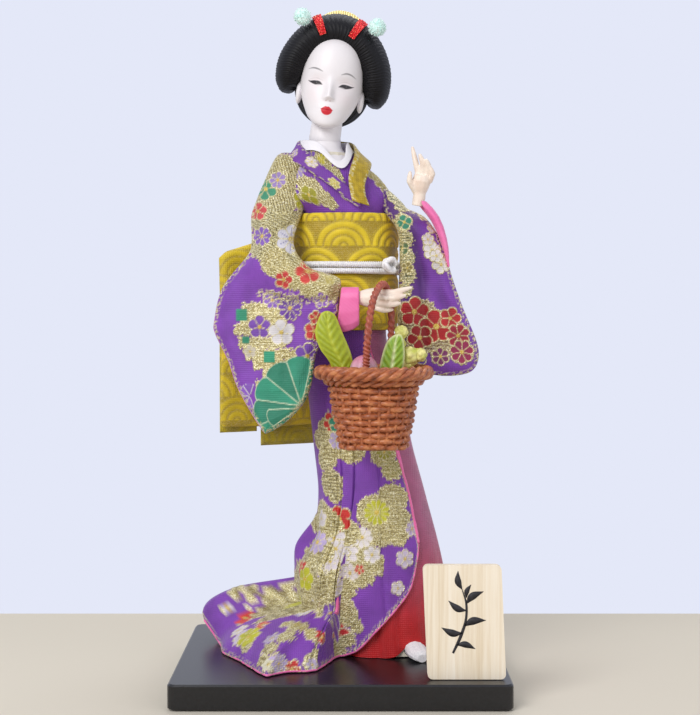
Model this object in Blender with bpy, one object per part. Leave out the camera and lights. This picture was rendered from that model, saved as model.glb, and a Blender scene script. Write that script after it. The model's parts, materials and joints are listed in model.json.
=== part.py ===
"""A souvenir geisha doll on a lacquered display base, about 30 cm tall.

The base carries two steel wires. They run up through the feet and the skirt wadding into a stuffed
trunk, and the robe, sash, hair and head are built outwards from that trunk in layers. One hand holds
the handle of a woven basket of produce.

All values are in millimetres and become metres where a mesh is made. X is the viewer's right,
-Y is the front and Z is up. The origin is the middle of the base's underside.
"""

import math

import bmesh
import bpy
import numpy as np
from mathutils import Vector
from mathutils.geometry import delaunay_2d_cdt

MM = 0.001

# Fits
GAP = 0.35
LAYER_GAP = 0.45
STUFFING_GAP = 0.9
ROBE_GAP = 1.0
LIE_GAP = 0.3

# Base board and name plaque
BASE_WIDTH = 145.0
BASE_DEPTH = 110.0
BASE_HEIGHT = 11.0
BASE_CORNER = 3.0
BASE_EDGE = 0.8
PLAQUE_WIDTH = 33.1
PLAQUE_HEIGHT = 48.5
PLAQUE_THICKNESS = 3.4
PLAQUE_CORNER = 2.2
PLAQUE_LEAN = 2.2
PLAQUE_LEFT = BASE_WIDTH / 2 - 35.7
PLAQUE_FRONT = 7.5 - BASE_DEPTH / 2

# Wires and feet
WIRE_RADIUS = 1.5
WIRE_DEPTH_IN_BASE = 8.0
WIRE_DEPTH_IN_TRUNK = 22.0
FOOT_LENGTH = 27.0
FOOT_WIDTH = 10.0
FOOT_HEIGHT = 9.5

# Cloth thicknesses
UNDER_CLOTH = 1.0
ROBE_CLOTH = 1.2
SASH_CLOTH = 2.0
LAPEL_CLOTH = 1.0

# Figure heights, above the base's underside
WADDING_TOP = 127.5
UNDER_SKIRT_TOP = 166.0
ROBE_SKIRT_TOP = 168.0
SASH_BOTTOM = 158.0
SASH_TOP = 210.6
BODICE_BOTTOM = 192.0
BODICE_TOP = 240.0
TRUNK_TOP = 238.4
NECK_RADIUS = 7.4
HEAD_CENTRE = (-4.6, 8.0, 268.0)
HEAD_TILT = math.radians(9.0)
NECK_CENTRE = (-7.5, 10.0)

# Sash, its cord and the bow behind
SASH_CENTRE = (1.7, 10.0)
SASH_HALF_WIDTH = 24.0
SASH_HALF_DEPTH = 18.4
CORD_HEIGHT = 186.0
CORD_HALF_HEIGHT = 2.9
CORD_HALF_DEPTH = 1.5
CORD_KNOT_RADII = (4.8, 3.1, 4.4)
TORSO_TURN = math.radians(27.0)
BOW_WIDTH = 68.0
BOW_TOP = 203.5
BOW_BOTTOM = 112.0
BOW_THICKNESS = 7.0
BOW_EDGE = 0.8
BOW_DEEP = 6.2
TAIL_THICKNESS = 1.8
TAIL_TOP = 174.0
PAD_HALF_WIDTH = 17.0

# Basket
BASKET_CENTRE = (14.2, -31.0)
BASKET_BOTTOM = 107.5
BASKET_HEIGHT = 27.0
BASKET_WALL = 2.2
BASKET_FOOT_RADIUS = 15.2
BASKET_MOUTH_RADIUS = 20.2
BASKET_DEPTH_SHARE = 0.9
WEAVE_ROWS = 8
WEAVE_RELIEF = 0.55
RIM_HEIGHT = 8.5
RIM_OUT = 4.6
RIM_HALF_WIDTH = 2.1
HANDLE_RADIUS = 1.7
RIGHT_PALM_TOP = 176.15
HANDLE_TOP = RIGHT_PALM_TOP + GAP + HANDLE_RADIUS
HANDLE_DEPTH_IN_BASKET = 6.0

BASE_TOP = BASE_HEIGHT
FLOOR_OF_DOLL = BASE_TOP + LIE_GAP

# Hands, head and hair
WRIST_RADIUS = 3.0
EAR_RADII = (1.7, 3.2, 5.2)
EAR_PLACE = (14.4, 2.2, -3.6)
KNOT_PLACE = (0.0, 20.5, 23.5)
KNOT_RADII = (11.5, 11.0, 9.5)
NAPE_PLACE = (0.0, 17.0, 2.0)
NAPE_RADII = (17.5, 17.0, 17.5)
COMB_HALF_WIDTH = 11.4
COMB_FOOT = 28.0
COMB_RISE = 9.2
COMB_HALF_THICKNESS = 1.3
COMB_DEEP = 8.0
RIBBON_THICKNESS = 1.0
POMPOM_RADIUS = 4.6
LINING_THICKNESS = 0.8

# Produce
RADISH_RADII = (6.2, 6.0, 6.6)
LEAF_EDGE = 0.7
LEAF_SWELL = 1.7
CLUSTER_RADII = (7.0, 3.4, 6.0)

# Colours, linear RGB with roughness and metallic value
LOOKS = {
    "black_lacquer": ((0.012, 0.012, 0.014), 0.35, 0.0),
    "pale_wood": ((0.82, 0.73, 0.61), 0.6, 0.0),
    "steel_wire": ((0.45, 0.45, 0.46), 0.35, 1.0),
    "stuffing": ((0.72, 0.68, 0.58), 0.95, 0.0),
    "white_cotton": ((0.82, 0.82, 0.84), 0.85, 0.0),
    "face_enamel": ((0.83, 0.82, 0.84), 0.4, 0.0),
    "hand_enamel": ((0.83, 0.76, 0.66), 0.4, 0.0),
    "black_hair": ((0.006, 0.006, 0.009), 0.45, 0.0),
    "gold_comb": ((0.80, 0.62, 0.22), 0.35, 0.6),
    "red_ribbon": ((0.60, 0.02, 0.02), 0.6, 0.0),
    "mint_tuft": ((0.55, 0.83, 0.78), 0.9, 0.0),
    "purple_brocade": ((0.20, 0.05, 0.42), 0.6, 0.0),
    "pink_lining": ((0.84, 0.20, 0.44), 0.6, 0.0),
    "rose_satin": ((0.45, 0.05, 0.12), 0.5, 0.0),
    "yellow_sash": ((0.68, 0.46, 0.01), 0.6, 0.0),
    "white_cord": ((0.86, 0.86, 0.90), 0.7, 0.0),
    "wicker": ((0.42, 0.13, 0.05), 0.55, 0.0),
    "red_cane": ((0.35, 0.07, 0.04), 0.45, 0.0),
    "leaf_green": ((0.36, 0.43, 0.01), 0.5, 0.0),
    "radish_white": ((0.82, 0.68, 0.74), 0.45, 0.0),
    "pale_yellow": ((0.72, 0.72, 0.30), 0.55, 0.0),
}


def clear_scene():
    for old in list(bpy.data.objects):
        bpy.data.objects.remove(old, do_unlink=True)


def material(look):
    found = bpy.data.materials.get(look)
    if found:
        return found
    colour, roughness, metallic = LOOKS[look]
    made = bpy.data.materials.new(look)
    made.use_nodes = True
    made.diffuse_color = (*colour, 1.0)
    shader = made.node_tree.nodes["Principled BSDF"]
    shader.inputs["Base Color"].default_value = (*colour, 1.0)
    shader.inputs["Roughness"].default_value = roughness
    shader.inputs["Metallic"].default_value = metallic
    return made


def solid(name, points, faces, look=None):
    """A mesh object from points in millimetres. Without a look it is a hidden cutter."""
    mesh = bpy.data.meshes.new(name)
    mesh.from_pydata([tuple(float(c) * MM for c in p) for p in points], [], faces)
    shape = bmesh.new()
    shape.from_mesh(mesh)
    bmesh.ops.recalc_face_normals(shape, faces=shape.faces)
    shape.to_mesh(mesh)
    shape.free()
    mesh.shade_smooth()
    mesh.set_sharp_from_angle(angle=math.radians(40))
    piece = bpy.data.objects.new(name, mesh)
    bpy.context.scene.collection.objects.link(piece)
    if look:
        mesh.materials.append(material(look))
    else:
        piece.hide_render = True
        piece.display_type = "WIRE"
    return piece


def combine(piece, other, operation):
    """Cuts another mesh from the piece, or joins it on, and hides that mesh."""
    step = piece.modifiers.new(f"{operation.lower()} {other.name}", "BOOLEAN")
    step.operation = operation
    step.solver = "EXACT"
    step.object = other
    other.hide_render = True
    other.display_type = "WIRE"


def rounded(values, at):
    """A smooth curve through a table of (position, value, value, ...) rows, at one position."""
    rows = np.asarray(values, float)
    keys = rows[:, 0]
    at = float(np.clip(at, keys.min(), keys.max()))
    k = int(np.clip(np.searchsorted(keys, at) - 1, 0, len(keys) - 2))
    span = keys[k + 1] - keys[k]
    share = (at - keys[k]) / span
    before = max(k - 1, 0)
    after = min(k + 2, len(keys) - 1)
    slope_in = (rows[k + 1] - rows[before]) / (keys[k + 1] - keys[before]) * span
    slope_out = (rows[after] - rows[k]) / (keys[after] - keys[k]) * span
    square = share * share
    cube = square * share
    blend = (
        (2 * cube - 3 * square + 1) * rows[k]
        + (cube - 2 * square + share) * slope_in
        + (3 * square - 2 * cube) * rows[k + 1]
        + (cube - square) * slope_out
    )
    return blend[1:]


def smooth_step(value, low, high):
    share = min(max((value - low) / (high - low), 0.0), 1.0)
    return share * share * (3.0 - 2.0 * share)


def grid_faces(rows, columns, first=0, closed=True):
    """Quads of a grid of points, the columns closed into a loop or open."""
    last = columns if closed else columns - 1
    return [
        (
            first + r * columns + c,
            first + r * columns + (c + 1) % columns,
            first + (r + 1) * columns + (c + 1) % columns,
            first + (r + 1) * columns + c,
        )
        for r in range(rows - 1)
        for c in range(last)
    ]


def loft(name, rings, look=None):
    """A closed body through rings of points, each end closed by a fan."""
    rings = np.asarray(rings, float)
    rows, columns, _ = rings.shape
    points = [*rings.reshape(-1, 3), rings[0].mean(axis=0), rings[-1].mean(axis=0)]
    faces = grid_faces(rows, columns)
    low = rows * columns
    high = low + 1
    top = (rows - 1) * columns
    for c in range(columns):
        faces.append((low, (c + 1) % columns, c))
        faces.append((high, top + c, top + (c + 1) % columns))
    return solid(name, points, faces, look)


def shell(name, outer, inner, look=None, closed=True):
    """Cloth between two grids of points: a tube, or a sheet when the columns are open."""
    outer = np.asarray(outer, float)
    inner = np.asarray(inner, float)
    rows, columns, _ = outer.shape
    count = rows * columns
    points = [*outer.reshape(-1, 3), *inner.reshape(-1, 3)]
    faces = grid_faces(rows, columns, 0, closed)
    faces += [tuple(reversed(f)) for f in grid_faces(rows, columns, count, closed)]
    last = columns if closed else columns - 1
    for row in (0, rows - 1):
        for c in range(last):
            a = row * columns + c
            b = row * columns + (c + 1) % columns
            rim = (a, count + a, count + b, b)
            faces.append(rim if row == 0 else tuple(reversed(rim)))
    if not closed:
        for c in (0, columns - 1):
            for r in range(rows - 1):
                a = r * columns + c
                b = a + columns
                side = (a, b, count + b, count + a)
                faces.append(side if c == 0 else tuple(reversed(side)))
    return solid(name, points, faces, look)


def hoop(name, rings, look):
    """A closed ring-shaped body, from the section at each place around it."""
    rings = np.asarray(rings, float)
    around, across, _ = rings.shape
    faces = [
        (
            r * across + c,
            r * across + (c + 1) % across,
            (r + 1) % around * across + (c + 1) % across,
            (r + 1) % around * across + c,
        )
        for r in range(around)
        for c in range(across)
    ]
    return solid(name, rings.reshape(-1, 3), faces, look)


def ring(centre, half_x, half_y, height, sides):
    turns = np.arange(sides) * 2 * math.pi / sides
    return np.stack(
        [
            centre[0] + half_x * np.cos(turns),
            centre[1] + half_y * np.sin(turns),
            np.full(sides, float(height)),
        ],
        axis=1,
    )


def tube(name, path, radii, sides, look=None, flatten=1.0):
    """A round bar along a path, with its own radius at each point."""
    path = np.asarray(path, float)
    rings = []
    side = None
    for k, at in enumerate(path):
        ahead = path[min(k + 1, len(path) - 1)] - path[max(k - 1, 0)]
        ahead /= np.linalg.norm(ahead)
        if side is None:
            side = np.cross(ahead, (0.0, 0.0, 1.0))
            if np.linalg.norm(side) < 0.1:
                side = np.array((1.0, 0.0, 0.0))
        side = side - ahead * side.dot(ahead)
        side /= np.linalg.norm(side)
        lift = np.cross(side, ahead)
        turns = np.arange(sides) * 2 * math.pi / sides
        rings.append(
            at
            + radii[k] * np.cos(turns)[:, None] * side
            + radii[k] * flatten * np.sin(turns)[:, None] * lift
        )
    return loft(name, rings, look)


def ball(name, centre, radii, look=None, sides=16, rows=9, turn=0.0):
    """An ellipsoid from rings, turned about the Y axis."""
    rings = []
    for row in range(rows):
        up = math.pi * (row + 0.5) / rows
        flat = ring((0.0, 0.0), radii[0] * math.sin(up), radii[1] * math.sin(up), 0.0, sides)
        flat[:, 2] = -radii[2] * math.cos(up)
        rings.append(flat)
    rings = np.asarray(rings)
    x = rings[..., 0] * math.cos(turn) + rings[..., 2] * math.sin(turn)
    z = -rings[..., 0] * math.sin(turn) + rings[..., 2] * math.cos(turn)
    placed = np.stack([x + centre[0], rings[..., 1] + centre[1], z + centre[2]], axis=-1)
    return loft(name, placed, look)


def round_outline(corners, spacing):
    """A closed smooth curve through the corners, with a point about every spacing."""
    corners = np.asarray(corners, float)
    count = len(corners)
    points = []
    for k in range(count):
        before, a, b, after = (corners[(k + i) % count] for i in (-1, 0, 1, 2))
        steps = max(1, int(round(np.linalg.norm(b - a) / spacing)))
        for step in range(steps):
            s = step / steps
            points.append(
                0.5
                * (
                    2 * a
                    + (b - before) * s
                    + (2 * before - 5 * a + 4 * b - after) * s * s
                    + (3 * a - before - 3 * b + after) * s**3
                )
            )
    return np.asarray(points)


def distance_to_outline(outline, at):
    ends = np.roll(outline, -1, axis=0)
    along = ends - outline
    share = ((at - outline) * along).sum(axis=1) / np.maximum((along**2).sum(axis=1), 1e-9)
    nearest = outline + np.clip(share, 0, 1)[:, None] * along
    return float(np.sqrt(((at - nearest) ** 2).sum(axis=1)).min())


def inside(outline, at):
    ends = np.roll(outline, -1, axis=0)
    crosses = (outline[:, 1] > at[1]) != (ends[:, 1] > at[1])
    rise = np.where(ends[:, 1] == outline[:, 1], 1.0, ends[:, 1] - outline[:, 1])
    where = outline[:, 0] + (at[1] - outline[:, 1]) / rise * (ends[:, 0] - outline[:, 0])
    return bool((crosses & (at[0] < where)).sum() % 2)


def cloth_panel(name, outline, spacing, middle, half, look=None, place=None):
    """A padded sheet that fills an upright outline of (across, up) points.

    middle and half give its mid surface and half its thickness, from the place on the outline and
    the distance to its edge. place turns (across, deep, up) into the doll's own frame.
    """
    outline = np.asarray(outline, float)
    low, high = outline.min(axis=0), outline.max(axis=0)
    inner = [
        (across, up)
        for row, up in enumerate(np.arange(low[1] + spacing / 2, high[1], spacing * 0.87))
        for across in np.arange(low[0] + spacing * (0.25 + 0.5 * (row % 2)), high[0], spacing)
        if inside(outline, (across, up))
        and distance_to_outline(outline, (across, up)) > 0.55 * spacing
    ]
    count = len(outline)
    edges = [(k, (k + 1) % count) for k in range(count)]
    flat = [Vector(p) for p in [*outline, *inner]]
    flat_points, _, triangles, *_ = delaunay_2d_cdt(flat, edges, [], 1, 1e-6)
    points = []
    for side in (-1, 1):
        for p in flat_points:
            edge = distance_to_outline(outline, (p.x, p.y))
            deep = middle(p.x, p.y) + side * half(p.x, p.y, edge)
            points.append((p.x, deep, p.y))
    shift = len(flat_points)
    faces = [tuple(t) for t in triangles]
    faces += [tuple(shift + i for i in reversed(t)) for t in triangles]
    used = {}
    for t in triangles:
        for a, b in zip(t, [*t[1:], t[0]]):
            used[(a, b)] = True
    for a, b in used:
        if (b, a) not in used:
            faces.append((b, a, shift + a, shift + b))
    if place:
        points = [place(p) for p in points]
    return solid(name, points, faces, look)


def ellipse_reach(turn, half_x, half_y):
    return 1.0 / math.hypot(math.cos(turn) / half_x, math.sin(turn) / half_y)


# Cross-sections of the figure: height, centre x, centre y, half width, half depth
UNDER_SKIRT_SECTIONS = (
    (BASE_TOP, 23.0, 8.0, 30.0, 21.5),
    (50.0, 18.5, 9.0, 28.5, 20.5),
    (84.0, 15.2, 9.5, 23.3, 18.0),
    (107.0, 10.7, 10.0, 21.8, 16.0),
    (132.0, 7.3, 10.0, 21.2, 15.0),
    (150.0, 2.3, SASH_CENTRE[1], 19.4, 13.9),
    (170.0, SASH_CENTRE[0], SASH_CENTRE[1], 19.0, 13.5),
)
SASH_INNER_X = SASH_HALF_WIDTH - SASH_CLOTH
SASH_INNER_Y = SASH_HALF_DEPTH - SASH_CLOTH
BODICE_SECTIONS = (
    (BODICE_BOTTOM - 2.0, *SASH_CENTRE, SASH_INNER_X - LAYER_GAP, SASH_INNER_Y - LAYER_GAP),
    (SASH_TOP, *SASH_CENTRE, SASH_INNER_X - LAYER_GAP, SASH_INNER_Y - LAYER_GAP),
    (218.0, -3.0, 9.2, 26.5, 16.0),
    (226.0, -6.0, 8.7, 24.5, 14.5),
    (233.0, -7.5, 8.5, 19.0, 12.7),
    (239.0, -7.8, 9.2, 12.6, 11.2),
    (243.0, -7.8, 9.8, 10.2, 10.2),
    (247.0, -7.6, 10.2, 9.6, 9.8),
)


def under_skirt_point(turn, height, offset):
    x, y, half_x, half_y = rounded(UNDER_SKIRT_SECTIONS, height)
    reach = ellipse_reach(turn, half_x, half_y) + offset
    return np.array((x + reach * math.cos(turn), y + reach * math.sin(turn), height))


def bodice_point(turn, height, offset):
    x, y, half_x, half_y = rounded(BODICE_SECTIONS, height)
    reach = ellipse_reach(turn, half_x, half_y) + offset
    return np.array((x + reach * math.cos(turn), y + reach * math.sin(turn), height))


def circle_turns(sides):
    return np.arange(sides) * 2 * math.pi / sides


# Heights where the underskirt and the stuffing inside it bend together
SKIRT_ROWS = (32.0, 60.0, 84.0, 107.0, WADDING_TOP, 142.0, 154.0, UNDER_SKIRT_TOP)


# Heights where the bodice and the trunk inside it bend together
BODICE_ROWS = (202.0, SASH_TOP, 214.0, 218.0, 223.0, 229.0, 235.0)

# Stand
WIRE_ENDS = {
    "leg_wire_right": ((9.0, 5.0), (5.0, 10.0)),
    "leg_wire_left": ((29.5, 0.0), (14.0, 10.0)),
}


def wire_path(name, slack):
    foot, hip = WIRE_ENDS[name]
    ends = np.array([(*foot, BASE_TOP - WIRE_DEPTH_IN_BASE), (*hip, WADDING_TOP + WIRE_DEPTH_IN_TRUNK)])
    ahead = (ends[1] - ends[0]) / np.linalg.norm(ends[1] - ends[0])
    return ends + np.array([-ahead * slack, ahead * slack])


def make_stand():
    corner = [
        (sx * (BASE_WIDTH / 2 - BASE_CORNER), sy * (BASE_DEPTH / 2 - BASE_CORNER), turn)
        for sx, sy, turn in ((1, 1, 0.0), (-1, 1, 0.5), (-1, -1, 1.0), (1, -1, 1.5))
    ]
    arc = [i * 0.125 for i in range(5)]
    outline = np.array(
        [
            (
                x + BASE_CORNER * math.cos(math.pi * (turn + a)),
                y + BASE_CORNER * math.sin(math.pi * (turn + a)),
            )
            for x, y, turn in corner
            for a in arc
        ]
    )
    shares = (
        (1 - 2 * BASE_EDGE / BASE_WIDTH, 0.0),
        (1.0, BASE_EDGE),
        (1.0, BASE_HEIGHT - BASE_EDGE),
        (1 - 2 * BASE_EDGE / BASE_WIDTH, BASE_HEIGHT),
    )
    rings = [
        np.column_stack([outline * share, np.full(len(outline), height)])
        for share, height in shares
    ]
    board = loft("base_board", rings, "black_lacquer")
    for name in WIRE_ENDS:
        tube(name, wire_path(name, 0.0), [WIRE_RADIUS] * 2, 12, "steel_wire")
        bore = tube(f"bore_{name}", wire_path(name, GAP), [WIRE_RADIUS + GAP] * 2, 12)
        combine(board, bore, "DIFFERENCE")

    low = FLOOR_OF_DOLL
    high = low + PLAQUE_HEIGHT
    r = PLAQUE_CORNER
    plate = []
    for x, z, turn in (
        (PLAQUE_WIDTH - r, low + r, 1.5),
        (PLAQUE_WIDTH - r, high - r, 0.0),
        (r, high - r, 0.5),
        (r, low + r, 1.0),
    ):
        for a in arc:
            up = z + r * math.sin(math.pi * (turn + a))
            across = PLAQUE_LEFT + x + r * math.cos(math.pi * (turn + a))
            plate.append((across - PLAQUE_LEAN * (up - low) / PLAQUE_HEIGHT, up))
    cloth_panel(
        "name_plaque",
        plate,
        60.0,
        lambda x, z: PLAQUE_FRONT + PLAQUE_THICKNESS / 2,
        lambda x, z, edge: PLAQUE_THICKNESS / 2,
        "pale_wood",
    )


# Sections of a foot from heel to toe: place, half width and height as shares of its size
FOOT_ROWS = (
    (0.02, 0.30, 0.5),
    (0.12, 0.40, 0.85),
    (0.35, 0.42, 1.0),
    (0.6, 0.46, 0.85),
    (0.82, 0.5, 0.62),
    (0.95, 0.42, 0.5),
    (1.0, 0.22, 0.36),
)
FEET = {
    "foot_right": ((9.0, 5.0), (9.4, -6.4)),
    "foot_left": ((29.5, 0.0), (36.0, -20.0)),
}


def foot_rings(name, swell):
    heel, toe = (np.array(p) for p in FEET[name])
    ahead = (toe - heel) / np.linalg.norm(toe - heel)
    side = np.array((-ahead[1], ahead[0]))
    back = toe - ahead * FOOT_LENGTH
    rings = []
    for share, half, tall in FOOT_ROWS:
        middle = back + ahead * FOOT_LENGTH * share
        top = FOOT_HEIGHT * tall / 2
        turns = circle_turns(12)
        across = (half * FOOT_WIDTH + swell) * np.cos(turns)
        up = np.maximum((top + swell) * np.sin(turns), -top)
        flat = middle + across[:, None] * side
        rings.append(np.column_stack([flat, FLOOR_OF_DOLL + top + up]))
    rings = np.asarray(rings)
    rings[0, :, :2] -= ahead * swell
    rings[-1, :, :2] += ahead * swell
    return rings


def make_trunk():
    turns = circle_turns(20)
    wadding_rings = [
        [under_skirt_point(t, h, -UNDER_CLOTH - STUFFING_GAP) for t in turns]
        for h in (FLOOR_OF_DOLL + LIE_GAP, *SKIRT_ROWS)
        if h <= WADDING_TOP
    ]
    wadding = loft("skirt_wadding", wadding_rings, "stuffing")

    trunk_rings = []
    for h in (WADDING_TOP + GAP, *(row for row in SKIRT_ROWS if row > WADDING_TOP)):
        trunk_rings.append(
            [under_skirt_point(t, h, -UNDER_CLOTH - STUFFING_GAP) for t in turns]
        )
    for h in (BODICE_BOTTOM - 1.0, *BODICE_ROWS, TRUNK_TOP):
        trunk_rings.append([bodice_point(t, h, -ROBE_CLOTH - LAYER_GAP) for t in turns])
    trunk = loft("body_form", trunk_rings, "stuffing")

    feet = {name: loft(name, foot_rings(name, 0.0), "white_cotton") for name in FEET}
    for name in WIRE_ENDS:
        bore = bpy.data.objects[f"bore_{name}"]
        foot = name.replace("leg_wire", "foot")
        combine(feet[foot], bore, "DIFFERENCE")
        combine(wadding, bore, "DIFFERENCE")
        combine(trunk, bore, "DIFFERENCE")
        room = loft(f"room_for_{foot}", foot_rings(foot, GAP), None)
        combine(wadding, room, "DIFFERENCE")


def under_hem(turn):
    """The underskirt's hem, lifted where the toe of the left sock shows."""
    toe = math.radians(-62.0)
    off = (turn - toe + math.pi) % (2 * math.pi) - math.pi
    return FLOOR_OF_DOLL + 9.0 * math.exp(-((off / 0.34) ** 2))


def make_under_skirt():
    turns = circle_turns(30)
    outer, inner = [], []
    for row in (None, *SKIRT_ROWS):
        heights = [under_hem(turn) if row is None else row for turn in turns]
        outer.append([under_skirt_point(t, h, 0.0) for t, h in zip(turns, heights)])
        inner.append([under_skirt_point(t, h, -UNDER_CLOTH) for t, h in zip(turns, heights)])
    shell("under_skirt", outer, inner, "rose_satin")


# The robe's skirt: place along the hem, angle at the sash, angle at the hem, hem height, and how far
# the hem lies from the underskirt there, as (x, y)
ROBE_HEM = (
    (0.00, -50.0, -45.0, 62.0, 0.0, 0.0),
    (0.03, -54.0, -52.0, 52.0, 0.0, 0.0),
    (0.07, -60.0, -62.0, 42.0, 0.0, 0.0),
    (0.12, -68.0, -81.0, 33.0, 0.0, 0.0),
    (0.17, -77.0, -104.0, 24.0, 0.0, 0.0),
    (0.22, -86.0, -126.0, 15.0, 0.0, 0.0),
    (0.26, -93.0, -142.0, 11.3, -2.0, -1.8),
    (0.32, -104.0, -145.0, 11.3, -6.0, -17.5),
    (0.37, -113.0, -147.0, 11.3, -11.6, -28.2),
    (0.41, -120.0, -150.0, 11.3, -20.0, -30.0),
    (0.46, -129.0, -153.0, 11.3, -28.0, -37.5),
    (0.50, -137.0, -158.0, 11.3, -33.5, -27.5),
    (0.54, -146.0, -164.0, 11.3, -38.0, -16.5),
    (0.59, -157.0, -170.0, 11.3, -44.5, -3.5),
    (0.64, -168.0, -178.0, 12.0, -49.5, 10.0),
    (0.69, -180.0, -188.0, 23.0, -54.5, 17.5),
    (0.74, -192.0, -198.0, 13.0, -46.0, 24.0),
    (0.80, -206.0, -212.0, 11.5, -31.0, 25.0),
    (0.86, -222.0, -228.0, 11.5, -15.0, 20.0),
    (0.91, -240.0, -245.0, 11.5, -5.0, 13.0),
    (0.96, -265.0, -268.0, 11.5, 1.0, 7.0),
    (1.00, -300.0, -305.0, 11.5, 4.0, 3.0),
)
FLARE_START = 0.64
FLARE_SHARE = 0.16
TRAIN_START = 0.865
FOLD_DEPTH = 2.2
FOLD_COUNT = 8


def robe_skirt_point(along, down):
    """A point on the inner side of the robe's skirt, from the place along the hem and down the cloth."""
    top_turn, hem_turn, hem, out_x, out_y = rounded(ROBE_HEM, along)
    hem = max(hem, FLOOR_OF_DOLL)
    turn = math.radians(top_turn + (hem_turn - top_turn) * smooth_step(down, 0.25, 1.0))
    height = ROBE_SKIRT_TOP + (hem - ROBE_SKIRT_TOP) * down
    trail = max(down - TRAIN_START, 0.0) / (1.0 - TRAIN_START)
    spread = FLARE_SHARE * smooth_step(down, FLARE_START, FLARE_START + 0.14)
    spread += (1.0 - FLARE_SHARE) * (1.0 - (1.0 - trail) ** 2)
    fold = 0.5 - 0.5 * math.cos(2 * math.pi * FOLD_COUNT * along)
    reach = math.hypot(out_x, out_y)
    loose = min(1.0, reach / 20.0)
    fold *= FOLD_DEPTH * smooth_step(down, 0.35, 1.0) * (0.25 + 0.75 * loose)
    point = under_skirt_point(turn, height, ROBE_GAP + fold)
    point[0] += out_x * spread
    point[1] += out_y * spread
    return point


def grid_normals(grid):
    """Unit normals of an open grid, pointing away from the middle of the figure."""
    down = np.gradient(grid, axis=0)
    along = np.gradient(grid, axis=1)
    normals = np.cross(down, along)
    normals /= np.maximum(np.linalg.norm(normals, axis=2, keepdims=True), 1e-9)
    return normals


def make_robe_skirt():
    columns = np.concatenate([np.linspace(0.0, 0.24, 6), np.linspace(0.27, 1.0, 33)])
    rows = (0.0, 0.1, 0.2, 0.38, 0.54, 0.66, 0.74, 0.81, TRAIN_START, 0.89, 0.92, 0.955, 1.0)
    inner = np.array([[robe_skirt_point(a, d) for a in columns] for d in rows])
    normals = grid_normals(inner)
    middle = inner[0].mean(axis=0)
    if ((inner[0] - middle) * normals[0]).sum() < 0:
        normals = -normals
    outer = inner + normals * ROBE_CLOTH
    outer[..., 2] = np.maximum(outer[..., 2], FLOOR_OF_DOLL)
    shell("kimono_skirt", outer, inner, "purple_brocade", closed=False)

    # The pink lining shows as a narrow band along the open front edge
    band_rows = (0.36, 0.5, 0.64, 0.78, 0.9, 0.98)
    band_out, band_in = [], []
    for down in band_rows:
        row_out, row_in = [], []
        for across in (0.0, 0.5, 1.0):
            edge = robe_skirt_point(0.0, down)
            x, y, *_ = rounded(UNDER_SKIRT_SECTIONS, edge[2])
            turn = math.atan2(edge[1] - y, edge[0] - x) + math.radians(1.5 + 5.0 * across)
            row_in.append(under_skirt_point(turn, edge[2], LIE_GAP))
            row_out.append(under_skirt_point(turn, edge[2], LIE_GAP + LINING_THICKNESS))
        band_out.append(row_out)
        band_in.append(row_in)
    shell("skirt_lining", band_out, band_in, "pink_lining", closed=False)


def make_bodice():
    turns = circle_turns(24)
    heights = (BODICE_BOTTOM, *BODICE_ROWS, BODICE_TOP)
    outer = [[bodice_point(t, h, 0.0) for t in turns] for h in heights]
    inner = [[bodice_point(t, h, -ROBE_CLOTH) for t in turns] for h in heights]
    shell("kimono_bodice", outer, inner, "purple_brocade")
    room = [
        [bodice_point(t, h, GAP + 2.8 * smooth_step(h, 229.0, 234.0)) for t in turns]
        for h in (*heights[1:], 244.0)
    ]
    loft("room_for_bodice", room, None)


def band_on_bodice(name, path, width, low, high, look):
    """A strip of cloth lying on the bodice. The path is (angle in degrees, height) pairs."""
    keyed = [(i / (len(path) - 1), *p) for i, p in enumerate(path)]
    outer, inner = [], []
    steps = 4 * (len(path) - 1)
    for step in range(steps + 1):
        share = step / steps
        here = rounded(keyed, share)
        ahead = rounded(keyed, min(share + 0.02, 1.0)) - rounded(keyed, max(share - 0.02, 0.0))
        *_, half_x, half_y = rounded(BODICE_SECTIONS, here[1])
        reach = (half_x + half_y) / 2
        run = np.array((math.radians(ahead[0]) * reach, ahead[1]))
        run /= np.linalg.norm(run)
        row_out, row_in = [], []
        for across in (-0.5, 0.0, 0.5):
            turn = math.radians(here[0]) - run[1] * across * width / reach
            height = here[1] + run[0] * across * width
            row_out.append(bodice_point(turn, height, high))
            row_in.append(bodice_point(turn, height, low))
        outer.append(row_out)
        inner.append(row_in)
    shell(name, outer, inner, look, closed=False)


def make_collars():
    collar_low = GAP
    collar_high = collar_low + LINING_THICKNESS
    sides = 24
    outer, inner = [], []
    for share in (0.0, 0.5, 1.0):
        row_out, row_in = [], []
        for turn in circle_turns(sides):
            front = math.radians(-62.0)
            off = (turn - front + math.pi) % (2 * math.pi) - math.pi
            low = 240.5 - 9.0 * math.exp(-((off / 0.42) ** 2))
            height = low + (246.0 - low) * share
            row_out.append(bodice_point(turn, height, collar_high))
            row_in.append(bodice_point(turn, height, collar_low))
        outer.append(row_out)
        inner.append(row_in)
    shell("under_collar", outer, inner, "white_cotton")

    first_low = collar_high + GAP
    first_high = first_low + LAPEL_CLOTH
    second_low = first_high + GAP
    second_high = second_low + LAPEL_CLOTH
    right_path = (
        (-268.0, 243.0), (-215.0, 242.0), (-170.0, 240.5), (-125.0, 234.5), (-82.0, 224.5), (-60.0, 214.5)
    )
    band_on_bodice("lapel_right", right_path, 6.5, first_low, first_high, "purple_brocade")
    left_path = (
        (88.0, 243.0), (50.0, 242.0), (10.0, 240.0), (-25.0, 234.5), (-50.0, 225.5), (-62.0, 214.5)
    )
    band_on_bodice("lapel_left", left_path, 6.5, second_low, second_high, "yellow_sash")


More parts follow.
